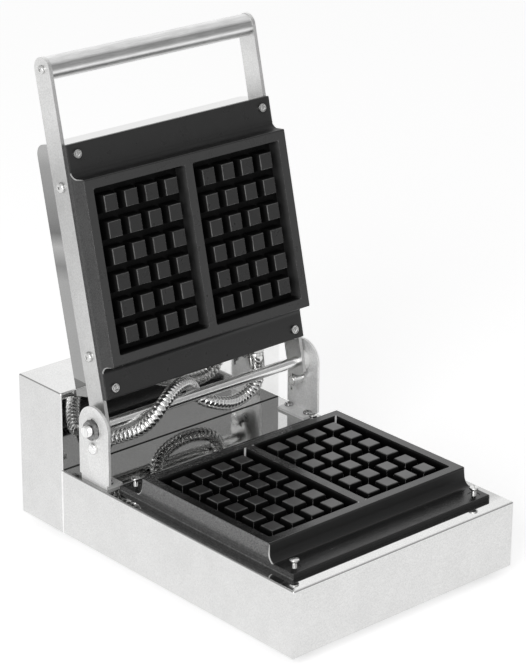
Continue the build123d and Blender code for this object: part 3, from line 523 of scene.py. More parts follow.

# Finishes of the castings' zones: painted shade in the pockets and between the studs, painted highlights on
# corners, edges and the walls that face the lamps
UPPER_BLACK = casting_finish("cast_black_upper", UPPER, 0.021, 0.30, 0.36)
LOWER_TOP = casting_finish("cast_top_lower", LOWER, 0.014, 0.33, 1.0, 0.02)
LOWER_RIM = casting_finish("cast_rim_lower", LOWER, 0.008, 0.26, 0.70, 0.1)
UPPER_RIM = casting_finish("cast_rim_upper", UPPER, 0.041, 0.30, 0.36)
# Painted shade in the pockets, darkening with depth.
LOWER_POCKET_SHADE = depth_painted_finish("cast_pocket_lower_painted_shade", LOWER, (0.024, 0.004, 0.0008), 0.55, 0.10)
UPPER_POCKET_SHADE = depth_painted_finish("cast_pocket_upper_painted_shade", UPPER, (0.026, 0.010, 0.002), 0.55, 0.14)
# Painted highlights on the stud and pocket corners.
LOWER_CORNER_HIGHLIGHT = depth_painted_finish("cast_corner_lower_painted_highlight", LOWER, (0.75, 0.92, 0.95), 0.32, 0.5)
UPPER_CORNER_HIGHLIGHT = depth_painted_finish("cast_corner_upper_painted_highlight", UPPER, (0.085, 0.045, 0.008), 0.32, 0.4)
# Painted light on the upper frame's walls that face the lamps.
UPPER_WALL_LIT = depth_painted_finish("cast_wall_upper_painted_light", UPPER, (0.080, 0.060, 0.030), 0.45, 0.25)
# Edges lighter than the casting: partly wear, partly a painted highlight.
WORN_EDGE_HIGHLIGHT = moulded("cast_worn_edge_highlight", 0.05, (0.17, 0.17, 0.168), 0.27, 0.3)
# Painted highlights along the castings' outline edges.
UPPER_OUTLINE_HIGHLIGHT = moulded("cast_edge_painted_highlight", 0.24, (0.60, 0.60, 0.595), 0.30, 0.3)
LOWER_OUTLINE_HIGHLIGHT = moulded("cast_rim_painted_highlight", 0.35, (0.80, 0.80, 0.79), 0.30, 0.3)

# Finishes of single pieces
ROD_STEEL = metal("steel_rod", steel(0.92), 0.25, (900.0, 900.0, 60.0), 0.03, 0.16, 0.05)
NUT_STEEL = metal("steel_nut", 0.24, 0.14, 500.0, 0.05, 0.3)
PIN_STEEL = metal("steel_pin", steel(0.92), 0.18, 500.0, 0.05, 0.15, 0.05, 0.88)
FLANGE_SCREW_STEEL = metal("steel_flange_screw", 0.42, 0.10, 500.0, 0.05, 0.3)
# A painted highlight: the fold is brighter than the panel steel.
FOLD_HIGHLIGHT_STEEL = metal("steel_fold_painted_highlight", steel(0.93), 0.30, 500.0, 0.02, 0.06)
# Painted shade in the conduit's grooves.
CONDUIT_GROOVE_SHADE = metal("conduit_groove_painted_shade", 0.15, 0.3, 500.0, 0.02, 0.2)
# Painted shade and light along the arms: darker through their middle, lighter at the top.
ARM_STEEL_PAINTED_SHADE = painted_light_along(satin("steel_arm_painted_shade", 0.79), LID_RISE, up_lid(60.0), up_lid(360.0),
                       [(0.15, 0.77), (0.65, 0.66), (0.87, 0.97)])
HANDLE_UP = Vector((0.0, 0.4616, 0.887))
HANDLE_MIDDLE = HANDLE_UP.dot(lid(0, HANDLE_V, HANDLE_W))
HANDLE_R = 0.012
NODE_STEEL = {
    # The deck: painted shade behind its front strip.
    "base_housing": deck_painted_shade(panel("steel_base_painted_shade"), 0.72),
    # The control box: painted light, its front face brighter than the rest.
    "control_box_shell": painted_light_along(panel("steel_box_painted_light", 0.88, 0.05), BACK, at(0, BOX_Y + 0.2, 0).y,
                                    at(0, BOX_Y + 0.8, 0).y, [(0.0, 1.0), (1.0, 0.82)]),
    # The lid's outer sides: painted reflections in bands.
    "lid_shell": sides_painted_reflections(
        panel("steel_lid_painted_reflections"), up_lid(30.0), up_lid(295.0),
        [(0.0, 0.49), (0.45, 0.52), (0.51, 0.34), (0.585, 0.60), (0.64, 0.24), (0.70, 0.33), (0.79, 0.41),
         (0.90, 0.46), (0.955, 0.62)]),
    # The handle: painted reflections in bands round the tube.
    "handle_tube": painted_light_along(
        satin("steel_handle_painted_reflections", 0.95, (60.0, 900.0, 900.0)), HANDLE_UP,
        HANDLE_MIDDLE - HANDLE_R, HANDLE_MIDDLE + HANDLE_R,
        [(0.02, 0.85), (0.083, 0.52), (0.125, 0.34), (0.167, 0.72), (0.208, 1.0), (0.25, 0.78), (0.29, 0.56),
         (0.33, 0.50), (0.42, 0.64), (0.5, 0.58), (0.54, 0.85), (0.60, 1.0), (0.67, 1.0), (0.75, 0.92),
         (0.95, 0.88)]),
    # The two brackets are one steel, painted apart: the left with painted shade, the right with painted light.
    "hinge_bracket_left": metal("steel_bracket_left_painted_shade", steel(0.80), 0.46, 700.0, 0.03, 0.20, 0.08, 0.45),
    "hinge_bracket_right": metal("steel_bracket_right_painted_light", steel(0.95), 0.46, 700.0, 0.03, 0.24, 0.10, 0.25),
    "lid_arm_left": ARM_STEEL_PAINTED_SHADE,
    "lid_arm_right": ARM_STEEL_PAINTED_SHADE,
}
SLOT_OF = {s["node"]: s["material_slot"] for s in frame["record"]["subparts"]}


def dress(obj, slot_name):
    obj.data.materials.clear()
    obj.data.materials.append(MATERIALS[slot_name])


for name, obj in frame["nodes"].items():
    dress(obj, SLOT_OF[name])
for name, finish in NODE_STEEL.items():
    frame["nodes"][name].data.materials[0] = finish


# Modelling helpers

def clear_selection():
    if bpy.context.object and bpy.context.object.mode != "OBJECT":
        bpy.ops.object.mode_set(mode="OBJECT")
    bpy.ops.object.select_all(action="DESELECT")


def only(obj):
    clear_selection()
    obj.select_set(True)
    bpy.context.view_layer.objects.active = obj


def settle(obj):
    """Applies a piece's place, turn and size to its mesh."""
    only(obj)
    bpy.ops.object.transform_apply(location=True, rotation=True, scale=True)


def apply_all(obj):
    only(obj)
    for modifier in list(obj.modifiers):
        bpy.ops.object.modifier_apply(modifier=modifier.name)


def edit():
    """Opens the active piece with all of it selected."""
    bpy.ops.object.mode_set(mode="EDIT")
    bpy.ops.mesh.select_all(action="SELECT")


def leave():
    bpy.ops.object.mode_set(mode="OBJECT")


def pick(obj, kind, test):
    """Selects the edges or faces of the open piece that pass a test."""
    bpy.ops.mesh.select_mode(type=kind)
    bpy.ops.mesh.select_all(action="DESELECT")
    mesh = bmesh.from_edit_mesh(obj.data)
    for item in mesh.edges if kind == "EDGE" else mesh.faces:
        item.select_set(test(item))
    bmesh.update_edit_mesh(obj.data)


def give_slot(obj, slot, test):
    """Gives the faces that pass a test the finish in one slot."""
    pick(obj, "FACE", test)
    obj.active_material_index = slot
    bpy.ops.object.material_slot_assign()


def finish_piece(obj, name, body, slot_name, smooth=30.0, stands_for=(), finish=None):
    """Names and smooths a piece, dresses it, and states its body and the nodes it replaces."""
    obj.name = name
    only(obj)
    edit()
    bpy.ops.mesh.normals_make_consistent(inside=False)
    leave()
    bpy.ops.object.shade_smooth_by_angle(angle=radians(smooth))
    dress(obj, slot_name)
    if finish:
        obj.data.materials[0] = finish
    if stands_for:
        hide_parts(*stands_for)
    if body:
        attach(obj, body)
    clear_selection()


def drawn(steps, sides, fill, extrude):
    """A circle raised along Z and drawn in or out through (height, radius) steps."""
    clear_selection()
    height, radius = steps[0]
    bpy.ops.mesh.primitive_circle_add(vertices=sides, radius=radius * MM, fill_type=fill,
                                      location=(0, 0, height * MM))
    obj = bpy.context.object
    settle(obj)
    edit()
    for (low, before), (high, after) in zip(steps, steps[1:]):
        extrude(TRANSFORM_OT_translate={"value": (0, 0, (high - low) * MM)})
        bpy.ops.transform.resize(value=(after / before, after / before, 1), center_override=(0, 0, 0))
    return obj


def turned(steps, sides=32):
    """A turned solid."""
    obj = drawn(steps, sides, "NGON", bpy.ops.mesh.extrude_region_move)
    leave()
    return obj


def turned_ring(steps, sides=40):
    """A turned ring: the steps run round its section and close on themselves."""
    obj = drawn(steps + steps[:1], sides, "NOTHING", bpy.ops.mesh.extrude_edges_move)
    bpy.ops.mesh.select_all(action="SELECT")
    bpy.ops.mesh.remove_doubles(threshold=0.000002)
    leave()
    return obj


def ridges(low, high, crest, root, pitch):
    """Steps of a thread between two heights."""
    count = max(1, round((high - low) / pitch))
    step = (high - low) / count
    steps = []
    for i in range(count):
        steps += [(low + i * step, root), (low + (i + 0.5) * step, crest)]
    return steps + [(high, root)]


def bar(low, high, bevel=0.0):
    """A block between two corners, its edges broken."""
    clear_selection()
    middle = (Vector(low) + Vector(high)) / 2
    bpy.ops.mesh.primitive_cube_add(size=1.0, location=middle * MM)
    obj = bpy.context.object
    obj.scale = (Vector(high) - Vector(low)) * MM
    settle(obj)
    if bevel:
        edit()
        bpy.ops.mesh.bevel(offset=bevel * MM, segments=2, affect="EDGES")
        leave()
    return obj


def carve(obj, cutter, operation="DIFFERENCE"):
    clear_selection()
    modifier = obj.modifiers.new("carve", "BOOLEAN")
    modifier.object = cutter
    modifier.operation = operation
    modifier.solver = "EXACT"
    apply_all(obj)
    bpy.data.objects.remove(cutter)
    return obj


FLAT_TO_CORNER = 1.732


def hexagon(across, low, high, chamfer=1.0):
    """A hexagon bar with turned-off corners."""
    obj = turned([(low, across / FLAT_TO_CORNER), (high, across / FLAT_TO_CORNER)], 6)
    flat = across * 0.5
    full = flat * 1.17
    barrel = turned([(low - 0.01, flat), (low + chamfer, full), (high - chamfer, full), (high + 0.01, flat)], 36)
    return carve(obj, barrel, "INTERSECT")


def hexagon_nut(across, bore, height):
    obj = hexagon(across, 0.0, height, across * 0.06)
    thread = ridges(0.2, height - 0.2, bore + 0.35, bore, 0.9)
    return carve(obj, turned([(-1.0, bore + 0.2)] + thread + [(height + 1.0, bore + 0.2)], 32))


def place(obj, point, way, spin=0.0):
    """Moves a piece from the origin to its point and turns its Z to the way it faces."""
    turn = Vector(way).to_track_quat("Z", "Y") @ Quaternion((0, 0, 1), radians(spin))
    obj.rotation_mode = "QUATERNION"
    obj.rotation_quaternion = turn
    obj.location = point
    settle(obj)


def set_out(pattern, name, spots, body, slot_name, node, smooth=30.0, finish=None):
    """Copies a pattern to each spot, every copy with its own mesh."""
    for number, (point, way, spin) in enumerate(spots, 1):
        piece = add_object(name, pattern.data.copy())
        place(piece, point, way, spin)
        finish_piece(piece, f"{name}_{number}", body, slot_name, smooth, [node], finish)
    bpy.data.objects.remove(pattern)


def slotted(obj, reach, top, width=1.7, turn=0.0, tapered=False):
    """Cuts a slot across a head, or one arm of a tapered cross."""
    cutter = bar((-reach, -width / 2, top - 1.5), (reach, width / 2, top + 2.0))
    if tapered:
        bpy.ops.object.mode_set(mode="EDIT")
        mesh = bmesh.from_edit_mesh(cutter.data)
        for v in mesh.verts:
            v.select_set(v.co.z < top * MM)
        mesh.select_flush(True)
        bpy.ops.transform.resize(value=(0.5, 0.6, 1), center_override=(0, 0, 0))
        leave()
    cutter.rotation_euler[2] = radians(turn)
    settle(cutter)
    return carve(obj, cutter)


def pan_screw(head_r, head_h, shank_r, shank_l):
    """Rounded head with a cross, on its seat at Z 0, and a threaded shank below."""
    steps = [(-shank_l, shank_r * 0.7)]
    steps += ridges(-shank_l + 0.6, -0.6, shank_r, shank_r * 0.86, 0.9)
    steps += [(0.0, shank_r * 0.9), (0.0, head_r - 0.3), (0.3, head_r), (head_h * 0.5, head_r * 0.98)]
    steps += [(head_h * 0.75, head_r * 0.88), (head_h * 0.92, head_r * 0.7), (head_h, head_r * 0.45)]
    screw = turned(steps, 36)
    for turn in (0.0, 90.0):
        slotted(screw, head_r * 0.56, head_h, head_r * 0.26, turn, True)
    return screw


# Castings: the solid's corners are broken, and each zone gets its finish, several of them with painted light and
# shade

BODY, WORN_HIGHLIGHT, POCKET, CORNER, TOP, RIM, OUTLINE_HIGHLIGHT, LIT_WALL = range(8)

# Depths below a casting's face, in metres
FACE_SKIN = 0.0014
CHAMFER = 0.00115
COVE_TOP = 0.0016
FLOOR = 0.0145
UNDER_FLOOR = 0.0155
COVE_FOOT = 0.0185
FOOT = 0.0240

# Places from the casting's middle, in metres, and the least area of a frame's top
FLANK_X = 0.1295
POCKETS_X = 0.1232
POCKETS_RUN = 0.0865
SIDE_WALL_X = 0.1175
MIDDLE_WALL_X = (-0.0095, -0.003)
FRAME_TOP_AREA = 0.0004


def is_sharp(edge):
    return len(edge.link_faces) == 2 and edge.calc_face_angle() >= radians(50.0)


def on_flank(edge):
    return min(abs(v.co.x - MIDDLE_X) for v in edge.verts) > FLANK_X


def is_upright(edge, depth):
    return abs(depth[0] - depth[1]) > 0.5 * edge.calc_length()


def is_outer_edge(edge, depth):
    """Sharp outer edges, but not those that follow the coves on the flanks."""
    cove = max(depth) > 0.0006 and on_flank(edge) and min(depth) < 0.0236
    return is_sharp(edge) and edge.is_convex and not cove


def outline_corner(edge, depth):
    """Edges that follow the casting's outline down its coves, where the flank meets its front and rear."""
    return is_sharp(edge) and on_flank(edge) and max(depth) > COVE_TOP and min(depth) < COVE_FOOT


def inner_corner(edge, depth):
    """The corners inside the pockets."""
    return is_sharp(edge) and not edge.is_convex and is_upright(edge, depth) and max(depth) < UNDER_FLOOR


def stud_corner(edge, depth):
    """The corners of the studs, which stand up off the casting."""
    return is_outer_edge(edge, depth) and is_upright(edge, depth) and max(depth) < UNDER_FLOOR


def rim_corner(edge, depth):
    """The rims round the casting's faces and round its foot."""
    level = not is_upright(edge, depth)
    return is_outer_edge(edge, depth) and level and (max(depth) < UNDER_FLOOR or min(depth) > FOOT)


# Outline edges get a painted highlight, inner and stud corners painted highlights that fade with depth, and rims a
# worn edge with a painted highlight.
CORNERS = (
    (outline_corner, 0.0009, 2, OUTLINE_HIGHLIGHT),
    (inner_corner, 0.0014, 1, CORNER),
    (stud_corner, 0.0016, 1, CORNER),
    (rim_corner, 0.0004, 2, WORN_HIGHLIGHT),
)


def grid_casting(name, node, body, casting, finishes):
    way, face, run = casting.way, casting.face, casting.run

    def depth_of(point):
        return face - point.dot(way)

    def one_sided(side):
        """A stud's corner that leans to one wall is part of that wall."""
        off = abs(abs(side.normal.x) - abs(side.normal.dot(run)))
        return side.material_index == CORNER and off > 0.25

    def chamfered(side):
        """The chamfer round a stud's top."""
        near = abs(depth_of(side.calc_center_median()) - CHAMFER) < 0.0003
        return near and 0.5 < side.normal.dot(way) < 0.9

    def sunk(side):
        """The walls inside the pockets."""
        spot = side.calc_center_median()
        inside = abs(spot.dot(run) - casting.middle) < POCKETS_RUN and abs(spot.x - MIDDLE_X) < POCKETS_X
        return inside and FACE_SKIN < depth_of(spot) < FLOOR and side.material_index == BODY

    def level(side):
        """The tops of the studs and of the frame."""
        high = depth_of(side.calc_center_median()) < FACE_SKIN
        return high and side.normal.dot(way) > 0.95 and side.material_index == BODY

    def broad(side):
        """The frame's top is far larger than a stud's."""
        return side.material_index == TOP and side.calc_area() > FRAME_TOP_AREA

    def lit(side):
        """The frame's walls that face the lamps; they get painted light."""
        x = side.calc_center_median().x - MIDDLE_X
        middle_wall = MIDDLE_WALL_X[0] < x < MIDDLE_WALL_X[1]
        return side.normal.x < -0.3 and (x > SIDE_WALL_X or middle_wall or x < -FLANK_X)

    obj = add_object(name, frame["nodes"][node].data.copy())
    only(obj)
    edit()
    bpy.ops.mesh.remove_doubles(threshold=0.00001)
    bpy.ops.mesh.dissolve_limited(angle_limit=radians(2.0))
    leave()
    dress(obj, "cast_black")
    obj.data.materials[0] = finishes[0]
    for finish in finishes[1:]:
        obj.data.materials.append(finish)
    edit()
    for chosen, offset, steps, slot in CORNERS:
        pick(obj, "EDGE", lambda edge: chosen(edge, [depth_of(v.co) for v in edge.verts]))
        bpy.ops.mesh.bevel(offset=offset, segments=steps, affect="EDGES", material=slot,
                           clamp_overlap=slot != OUTLINE_HIGHLIGHT)
    for slot, test in ((POCKET, one_sided), (WORN_HIGHLIGHT, chamfered), (POCKET, sunk), (TOP, level), (RIM, broad)):
        give_slot(obj, slot, test)
    # Walls and worn edges that face the lamps take lighter finishes: painted light and painted highlights.
    if len(finishes) > LIT_WALL:
        give_slot(obj, LIT_WALL, lambda side: side.material_index == POCKET and lit(side))
        give_slot(obj, OUTLINE_HIGHLIGHT, lambda side: side.material_index == WORN_HIGHLIGHT and lit(side))
    leave()
    bpy.ops.object.shade_smooth_by_angle(angle=radians(20.0))
    even = obj.modifiers.new("even", "WEIGHTED_NORMAL")
    even.keep_sharp = True
    apply_all(obj)
    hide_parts(node)
    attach(obj, body)
    clear_selection()


grid_casting("lower_grid", "lower_plate", "base", LOWER, (
    MATERIALS["cast_black"], WORN_EDGE_HIGHLIGHT, LOWER_POCKET_SHADE, LOWER_CORNER_HIGHLIGHT, LOWER_TOP, LOWER_RIM, LOWER_OUTLINE_HIGHLIGHT))
grid_casting("upper_grid", "upper_plate", "lid", UPPER, (
    UPPER_BLACK, WORN_EDGE_HIGHLIGHT, UPPER_POCKET_SHADE, UPPER_CORNER_HIGHLIGHT, UPPER_BLACK, UPPER_RIM, UPPER_OUTLINE_HIGHLIGHT, UPPER_WALL_LIT))


# Screws

PLATE_HEAD_H = 3.2
PLATE_HEAD_R = 4.75
STANDS_PROUD = 9.0


def plate_screw_spots():
    return [(sx * SCREW_X, sy * SCREW_L) for sx in (-1, 1) for sy in (-1, 1)]


def proud_screw():
    """The lower casting's screws stand up on their threads, with a flared slotted head."""
    steps = [(-18.3, 1.8)] + ridges(-17.7, -1.6, 2.5, 2.1, 0.9)
    steps += [(-1.2, 2.6), (0.0, 3.3), (0.7, 4.5), (1.2, PLATE_HEAD_R), (2.5, PLATE_HEAD_R), (2.9, 4.5)]
    steps += [(PLATE_HEAD_H, 3.9)]
    return slotted(turned(steps, 36), PLATE_HEAD_R * 1.2, PLATE_HEAD_H)


def rimmed_screw():
    """The upper casting's screws: a slotted head inside a raised rim."""
    steps = [(-14.0, 1.8)] + ridges(-13.4, -0.6, 2.5, 2.1, 0.9)
    steps += [(0.0, 2.3), (0.0, 4.45), (0.3, PLATE_HEAD_R), (2.2, PLATE_HEAD_R), (2.9, 4.45), (2.9, 4.0)]
    steps += [(2.1, 3.6), (2.1, 3.0), (2.9, 2.6), (PLATE_HEAD_H, 1.8)]
    return slotted(turned(steps, 36), 3.36, PLATE_HEAD_H)


def screws():
    seat = DECK_Z + LEDGE + STANDS_PROUD - PLATE_HEAD_H
    turns = (-38.0, 20.0, 55.0, -15.0)
    spots = [(at(x, PLATE_Y + y, seat), UP, t) for (x, y), t in zip(plate_screw_spots(), turns)]
    set_out(proud_screw(), "lower_plate_screw", spots, "base", "zinc", "lower_plate_screws")
    seat = LID_PLATE_W + LEDGE - 0.4
    turns = (45.0, 50.0, 40.0, 62.0)
    spots = [(lid(x, LID_MIDDLE + y, seat), LID_FACE, t) for (x, y), t in zip(plate_screw_spots(), turns)]
    set_out(rimmed_screw(), "upper_plate_screw", spots, "lid", "zinc", "upper_plate_screws")
    spots = [(at(sx * 136.5, y, DECK_Z + 3.0), UP, t) for sx, y, t in
             ((-1, 296.0, 12.0), (-1, 326.0, 50.0), (1, 296.0, 70.0), (1, 326.0, 25.0))]
    set_out(pan_screw(4.8, 3.2, 2.5, 10.0), "bracket_screw", spots, "base", "zinc", "bracket_screws", 30.0,
            FLANGE_SCREW_STEEL)
    spots = [(lid(sx * ARM_FACE, v, -0.6), (sx, 0, 0), t) for sx, v, t in
             ((-1, 73.5, 20.0), (-1, 248.0, 65.0), (1, 73.5, 40.0), (1, 248.0, 10.0))]
    set_out(pan_screw(5.5, 3.5, 3.0, 12.0), "arm_screw", spots, "lid", "zinc", "arm_screws")
    spots = [(lid(sx * ARM_FACE, HANDLE_V, HANDLE_W), (sx, 0, 0), 30.0) for sx in (-1, 1)]
    set_out(pan_screw(4.6, 3.0, 3.0, 16.0), "handle_screw", spots, "lid", "zinc", "handle_screws")
    spots = [(at(sx * 142.0, y, 8.8), DOWN, y) for sx in (-1, 1) for y in (70.0, 190.0, 345.0, 395.0)]
    spots += [(at(sx * 142.8, BACK_Y, z), BACK, z) for sx in (-1, 1) for z in (35.0, 130.0)]
    spots += [(at(sx * 70.0, BACK_Y, 160.3), BACK, 20.0) for sx in (-1, 1)]
    set_out(pan_screw(3.6, 2.0, 2.0, 6.0), "panel_screw", spots, "base", "zinc", "panel_screws")


screws()


# Hinge: rod, washers, nuts, spacers, stop pins and their clips

def both_sides(x, z, spin=0.0):
    """Spots at the hinge, one on each side, facing out."""
    return [(at(sx * x, HINGE.y, z), way, spin) for sx, way in ((-1, LEFT), (1, RIGHT))]


def hinge():
    end = 156.2
    thread = ridges(142.0, end - 0.9, 6.0, 5.4, 1.5)
    low = [(-z, r) for z, r in reversed(thread)]
    rod = turned([(-end, 5.2)] + low + [(-141.8, 6.0), (141.8, 6.0)] + thread + [(end, 5.2)], 40)
    place(rod, at(0, HINGE.y, HINGE.z), RIGHT)
    finish_piece(rod, "hinge_bar", "base", "steel_bright", 35.0, ["hinge_rod"], ROD_STEEL)
    washer = turned_ring([(0.0, 6.2), (0.0, 11.7), (0.3, 12.0), (0.9, 12.0), (1.2, 11.6), (1.2, 6.2)])
    set_out(washer, "hinge_washer", both_sides(BRACKET_FACE, HINGE.z), "base", "zinc", "hinge_washers")
    nut = hexagon_nut(19.0, 6.0, 5.0)
    set_out(nut, "hinge_nut", both_sides(BRACKET_FACE + 1.2, HINGE.z, 18.0), "base", "zinc", "hinge_nuts", 30.0,
            NUT_STEEL)
    spacer = turned_ring([(0.0, 6.4), (0.0, 11.2), (0.5, 12.0), (5.9, 12.0), (6.4, 11.2), (6.4, 6.4), (6.0, 6.1),
                          (0.4, 6.1)])
    set_out(spacer, "hinge_spacer", both_sides(ARM_FACE + 0.1, HINGE.z), "base", "white_plastic", "hinge_spacers")
    pin = turned([(-19.2, 3.9), (-18.4, 4.75), (-17.8, 4.75), (-17.8, 3.4), (-16.8, 3.4), (-16.8, 4.75),
                  (-6.4, 4.75), (-6.2, 4.5), (-6.2, 3.0), (0.0, 3.0), (0.0, 6.2), (0.3, 6.5), (1.6, 6.5),
                  (2.7, 6.1), (3.6, 5.1), (4.2, 3.6), (4.5, 1.8)], 40)
    set_out(pin, "stop_pin", both_sides(BRACKET_FACE, STOP_Z), "base", "zinc", "stop_pins", 40.0, PIN_STEEL)
    set_out(hexagon_nut(11.0, 3.1, 3.2), "stop_pin_nut", both_sides(138.3, STOP_Z), "base", "zinc",
            "stop_pin_nuts", 30.0, PIN_STEEL)


def retaining_clips():
    """An open ring sprung into the pin's groove, with one long tail."""
    ring = turned_ring([(0.0, 3.6), (0.0, 6.0), (0.15, 6.2), (0.65, 6.2), (0.8, 6.0), (0.8, 3.6)], 36)
    carve(ring, bar((-2.4, 0.0, -1.0), (2.4, 8.0, 2.0)))
    carve(ring, bar((-1.6, -11.0, 0.0), (1.6, -5.2, 0.8), 0.15), "UNION")
    spots = [(at(sx * 126.4, HINGE.y, STOP_Z), (-sx, 0, 0), 0.0) for sx in (-1, 1)]
    set_out(ring, "retaining_clip", spots, "base", "zinc", "retaining_clips")


hinge()
retaining_clips()


# Glands of the conduit

def conduit_glands():
    body = hexagon(20.0, -8.0, 0.0, 1.0)
    nose = turned([(-26.0, 5.4), (-26.0, 7.6), (-25.4, 8.0), (-12.4, 8.9), (-12.0, 8.4), (-11.4, 8.4),
                   (-11.0, 9.0), (-8.6, 9.0), (-8.2, 8.3), (-4.0, 8.3), (-4.0, 6.8), (7.0, 6.8)], 40)
    carve(body, nose, "UNION")
    place(body, lid(LID_GLAND_X, 28.4, LID_GLAND_W), LID_RISE, 15.0)
    finish_piece(body, "lid_gland", "lid", "nickel", 30.0, ["lid_conduit_gland"])
    body = hexagon(20.0, 0.0, 6.0, 1.0)
    nose = turned([(-7.0, 6.8), (3.0, 6.8), (3.0, 8.2), (6.6, 8.2), (7.0, 8.5), (13.4, 8.5), (14.0, 7.9)], 40)
    carve(body, nose, "UNION")
    place(body, at(BOX_GLAND_X, BOX_Y, BOX_GLAND_Z), FRONT, 15.0)
    finish_piece(body, "box_gland", "base", "nickel", 30.0, ["box_conduit_gland"])


conduit_glands()


# Flexible conduit: one rib of a listed profile, repeated and bent along the route

CONDUIT_PITCH = 5.0

# Half a groove, a rounded crest and half a groove, as (share of the pitch, radius)
CONDUIT_RIB = [(0.0, 6.5), (0.09, 6.55), (0.17, 7.15), (0.3, 7.37), (0.5, 7.4), (0.7, 7.37), (0.83, 7.15),
               (0.91, 6.55), (1.0, 6.5)]

# From the lid's gland to the box's: X, and Y and Z from the hinge line
CONDUIT_ROUTE = [
    (84.0, 13.5, -18.8), (73.0, 13.0, -25.8), (57.5, 10.0, -28.0), (43.0, 7.0, -26.5), (30.0, 5.0, -22.3),
    (17.0, 6.0, -17.1), (6.5, 9.5, -11.8), (1.0, 14.3, -5.3), (-1.5, 15.3, 2.2), (-9.5, 12.0, 9.7),
    (-21.5, 6.0, 15.2), (-37.0, -2.5, 18.0), (-50.3, -9.0, 17.2), (-61.3, -14.2, 13.5), (-71.0, -17.2, 8.2),
    (-78.5, -16.8, 1.0), (-84.5, -13.8, -6.3), (-92.0, -8.2, -13.0), (-101.0, 2.0, -18.8), (-109.5, 13.5, -24.5),
]


def conduit_points():
    middle = [at(x, HINGE.y + y, HINGE.z + z) for x, y, z in CONDUIT_ROUTE]
    starts = [lid(LID_GLAND_X, v, LID_GLAND_W) for v in (2.4, -5.6)]
    ends = [at(BOX_GLAND_X, y, BOX_GLAND_Z) for y in (334.0, 343.0)]
    return starts + middle + ends


def conduit_rib(pitch):
    """One rib along X, its grooves in a darker finish of their own: painted shade."""
    bpy.ops.mesh.primitive_circle_add(vertices=32, radius=CONDUIT_RIB[0][1] * MM, fill_type="NOTHING",
                                      location=(0, 0, 0), rotation=(0, pi / 2, 0))
    rib = bpy.context.object
    settle(rib)
    dress(rib, "conduit")
    rib.data.materials.append(CONDUIT_GROOVE_SHADE)
    edit()
    for (s0, r0), (s1, r1) in zip(CONDUIT_RIB, CONDUIT_RIB[1:]):
        bpy.ops.mesh.extrude_edges_move(TRANSFORM_OT_translate={"value": ((s1 - s0) * pitch, 0, 0)})
        bpy.ops.transform.resize(value=(1, r1 / r0, r1 / r0), center_override=(0, 0, 0))
    give_slot(rib, 1, lambda side: not 0.09 <= side.calc_center_median().x / pitch <= 0.91)
    leave()
    return rib


def conduit():
    clear_selection()
    points = conduit_points()
    data = bpy.data.curves.new("conduit_route", "CURVE")
    data.dimensions = "3D"
    spline = data.splines.new("NURBS")
    spline.points.add(len(points) - 1)
    for knot, p in zip(spline.points, points):
        knot.co = (p.x, p.y, p.z, 1.0)
    spline.order_u = 3
    spline.use_endpoint_u = True
    spline.resolution_u = 24
    route = add_object("conduit_route", data)
    bpy.context.view_layer.update()
    line = bpy.data.meshes.new_from_object(route)
    walk = [v.co.copy() for v in line.vertices]
    length = sum((b - a).length for a, b in zip(walk, walk[1:]))
    count = round(length / (CONDUIT_PITCH * MM))
    pitch = length / count
    rib = conduit_rib(pitch)
    array = rib.modifiers.new("array", "ARRAY")
    array.count = count
    array.use_relative_offset = False
    array.use_constant_offset = True
    array.constant_offset_displace = (pitch, 0, 0)
    array.use_merge_vertices = True
    array.merge_threshold = 0.00002
    bend = rib.modifiers.new("bend", "CURVE")
    bend.object = route
    bend.deform_axis = "POS_X"
    apply_all(rib)

    # Close the two ends
    bpy.ops.object.mode_set(mode="EDIT")
    bpy.ops.mesh.select_all(action="DESELECT")
    bpy.ops.mesh.select_mode(type="EDGE")
    bpy.ops.mesh.select_non_manifold()
    bpy.ops.mesh.edge_face_add()
    leave()
    finish_piece(rib, "conduit_hose", None, "conduit", 60.0, ["flex_conduit"])
    rib.data.materials.append(CONDUIT_GROOVE_SHADE)
    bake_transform(rib)
    bpy.data.objects.remove(route)


conduit()


# Seam of sealant where the control box stands on the deck

def box_seam():
    bead = bar((-148.0, BOX_Y - 0.8, DECK_Z - 0.1), (148.0, BOX_Y + 0.1, DECK_Z + 0.7), 0.25)
    bead.location = SHIFT * MM
    settle(bead)
    finish_piece(bead, "box_seam", "base", "rubber", 40.0)


def side_folds():
    """The control box's side sheets are folded at their front edge and lap the base."""
    for side, (x0, x1) in (("left", (-150.4, -149.7)), ("right", (149.7, 150.4))):
        fold = bar((x0, BOX_Y - 1.2, 9.4), (x1, BOX_Y + 1.4, DECK_Z - 0.6), 0.3)
        fold.location = SHIFT * MM
        settle(fold)
        # The fold is painted brighter than the panel: a painted highlight.
        finish_piece(fold, "side_fold_" + side, "base", "steel_panel", 60.0, (), FOLD_HIGHLIGHT_STEEL)


box_seam()
side_folds()


# Controls on the right side

DIAL_Y = BACK_Y - 27.0
LAMP_Y = DIAL_Y - 27.0
THERMOSTAT_Z = BOX_Z - 33.5
TIMER_Z = THERMOSTAT_Z - 45.0
SWITCH_Z = TIMER_Z - 43.0
ROCKER_TILT = radians(24.0)


def flutes(obj, low, high, sides):
    """Every other side of a turned grip is drawn in a little."""
    def drawn_in(side):
        heights = [v.co.z for v in side.verts]
        if min(heights) <= low * MM or max(heights) >= high * MM or abs(side.normal.z) >= 0.3:
            return False
        middle = side.calc_center_median()
        turn = Vector((middle.x, middle.y)).angle_signed(Vector((1.0, 0.0)))
        return int((turn + pi) / (2 * pi) * sides) % 2 == 0

    only(obj)
    edit()
    pick(obj, "FACE", drawn_in)
    bpy.ops.mesh.inset(thickness=0.00025, depth=-0.0006, use_individual=True)
    leave()


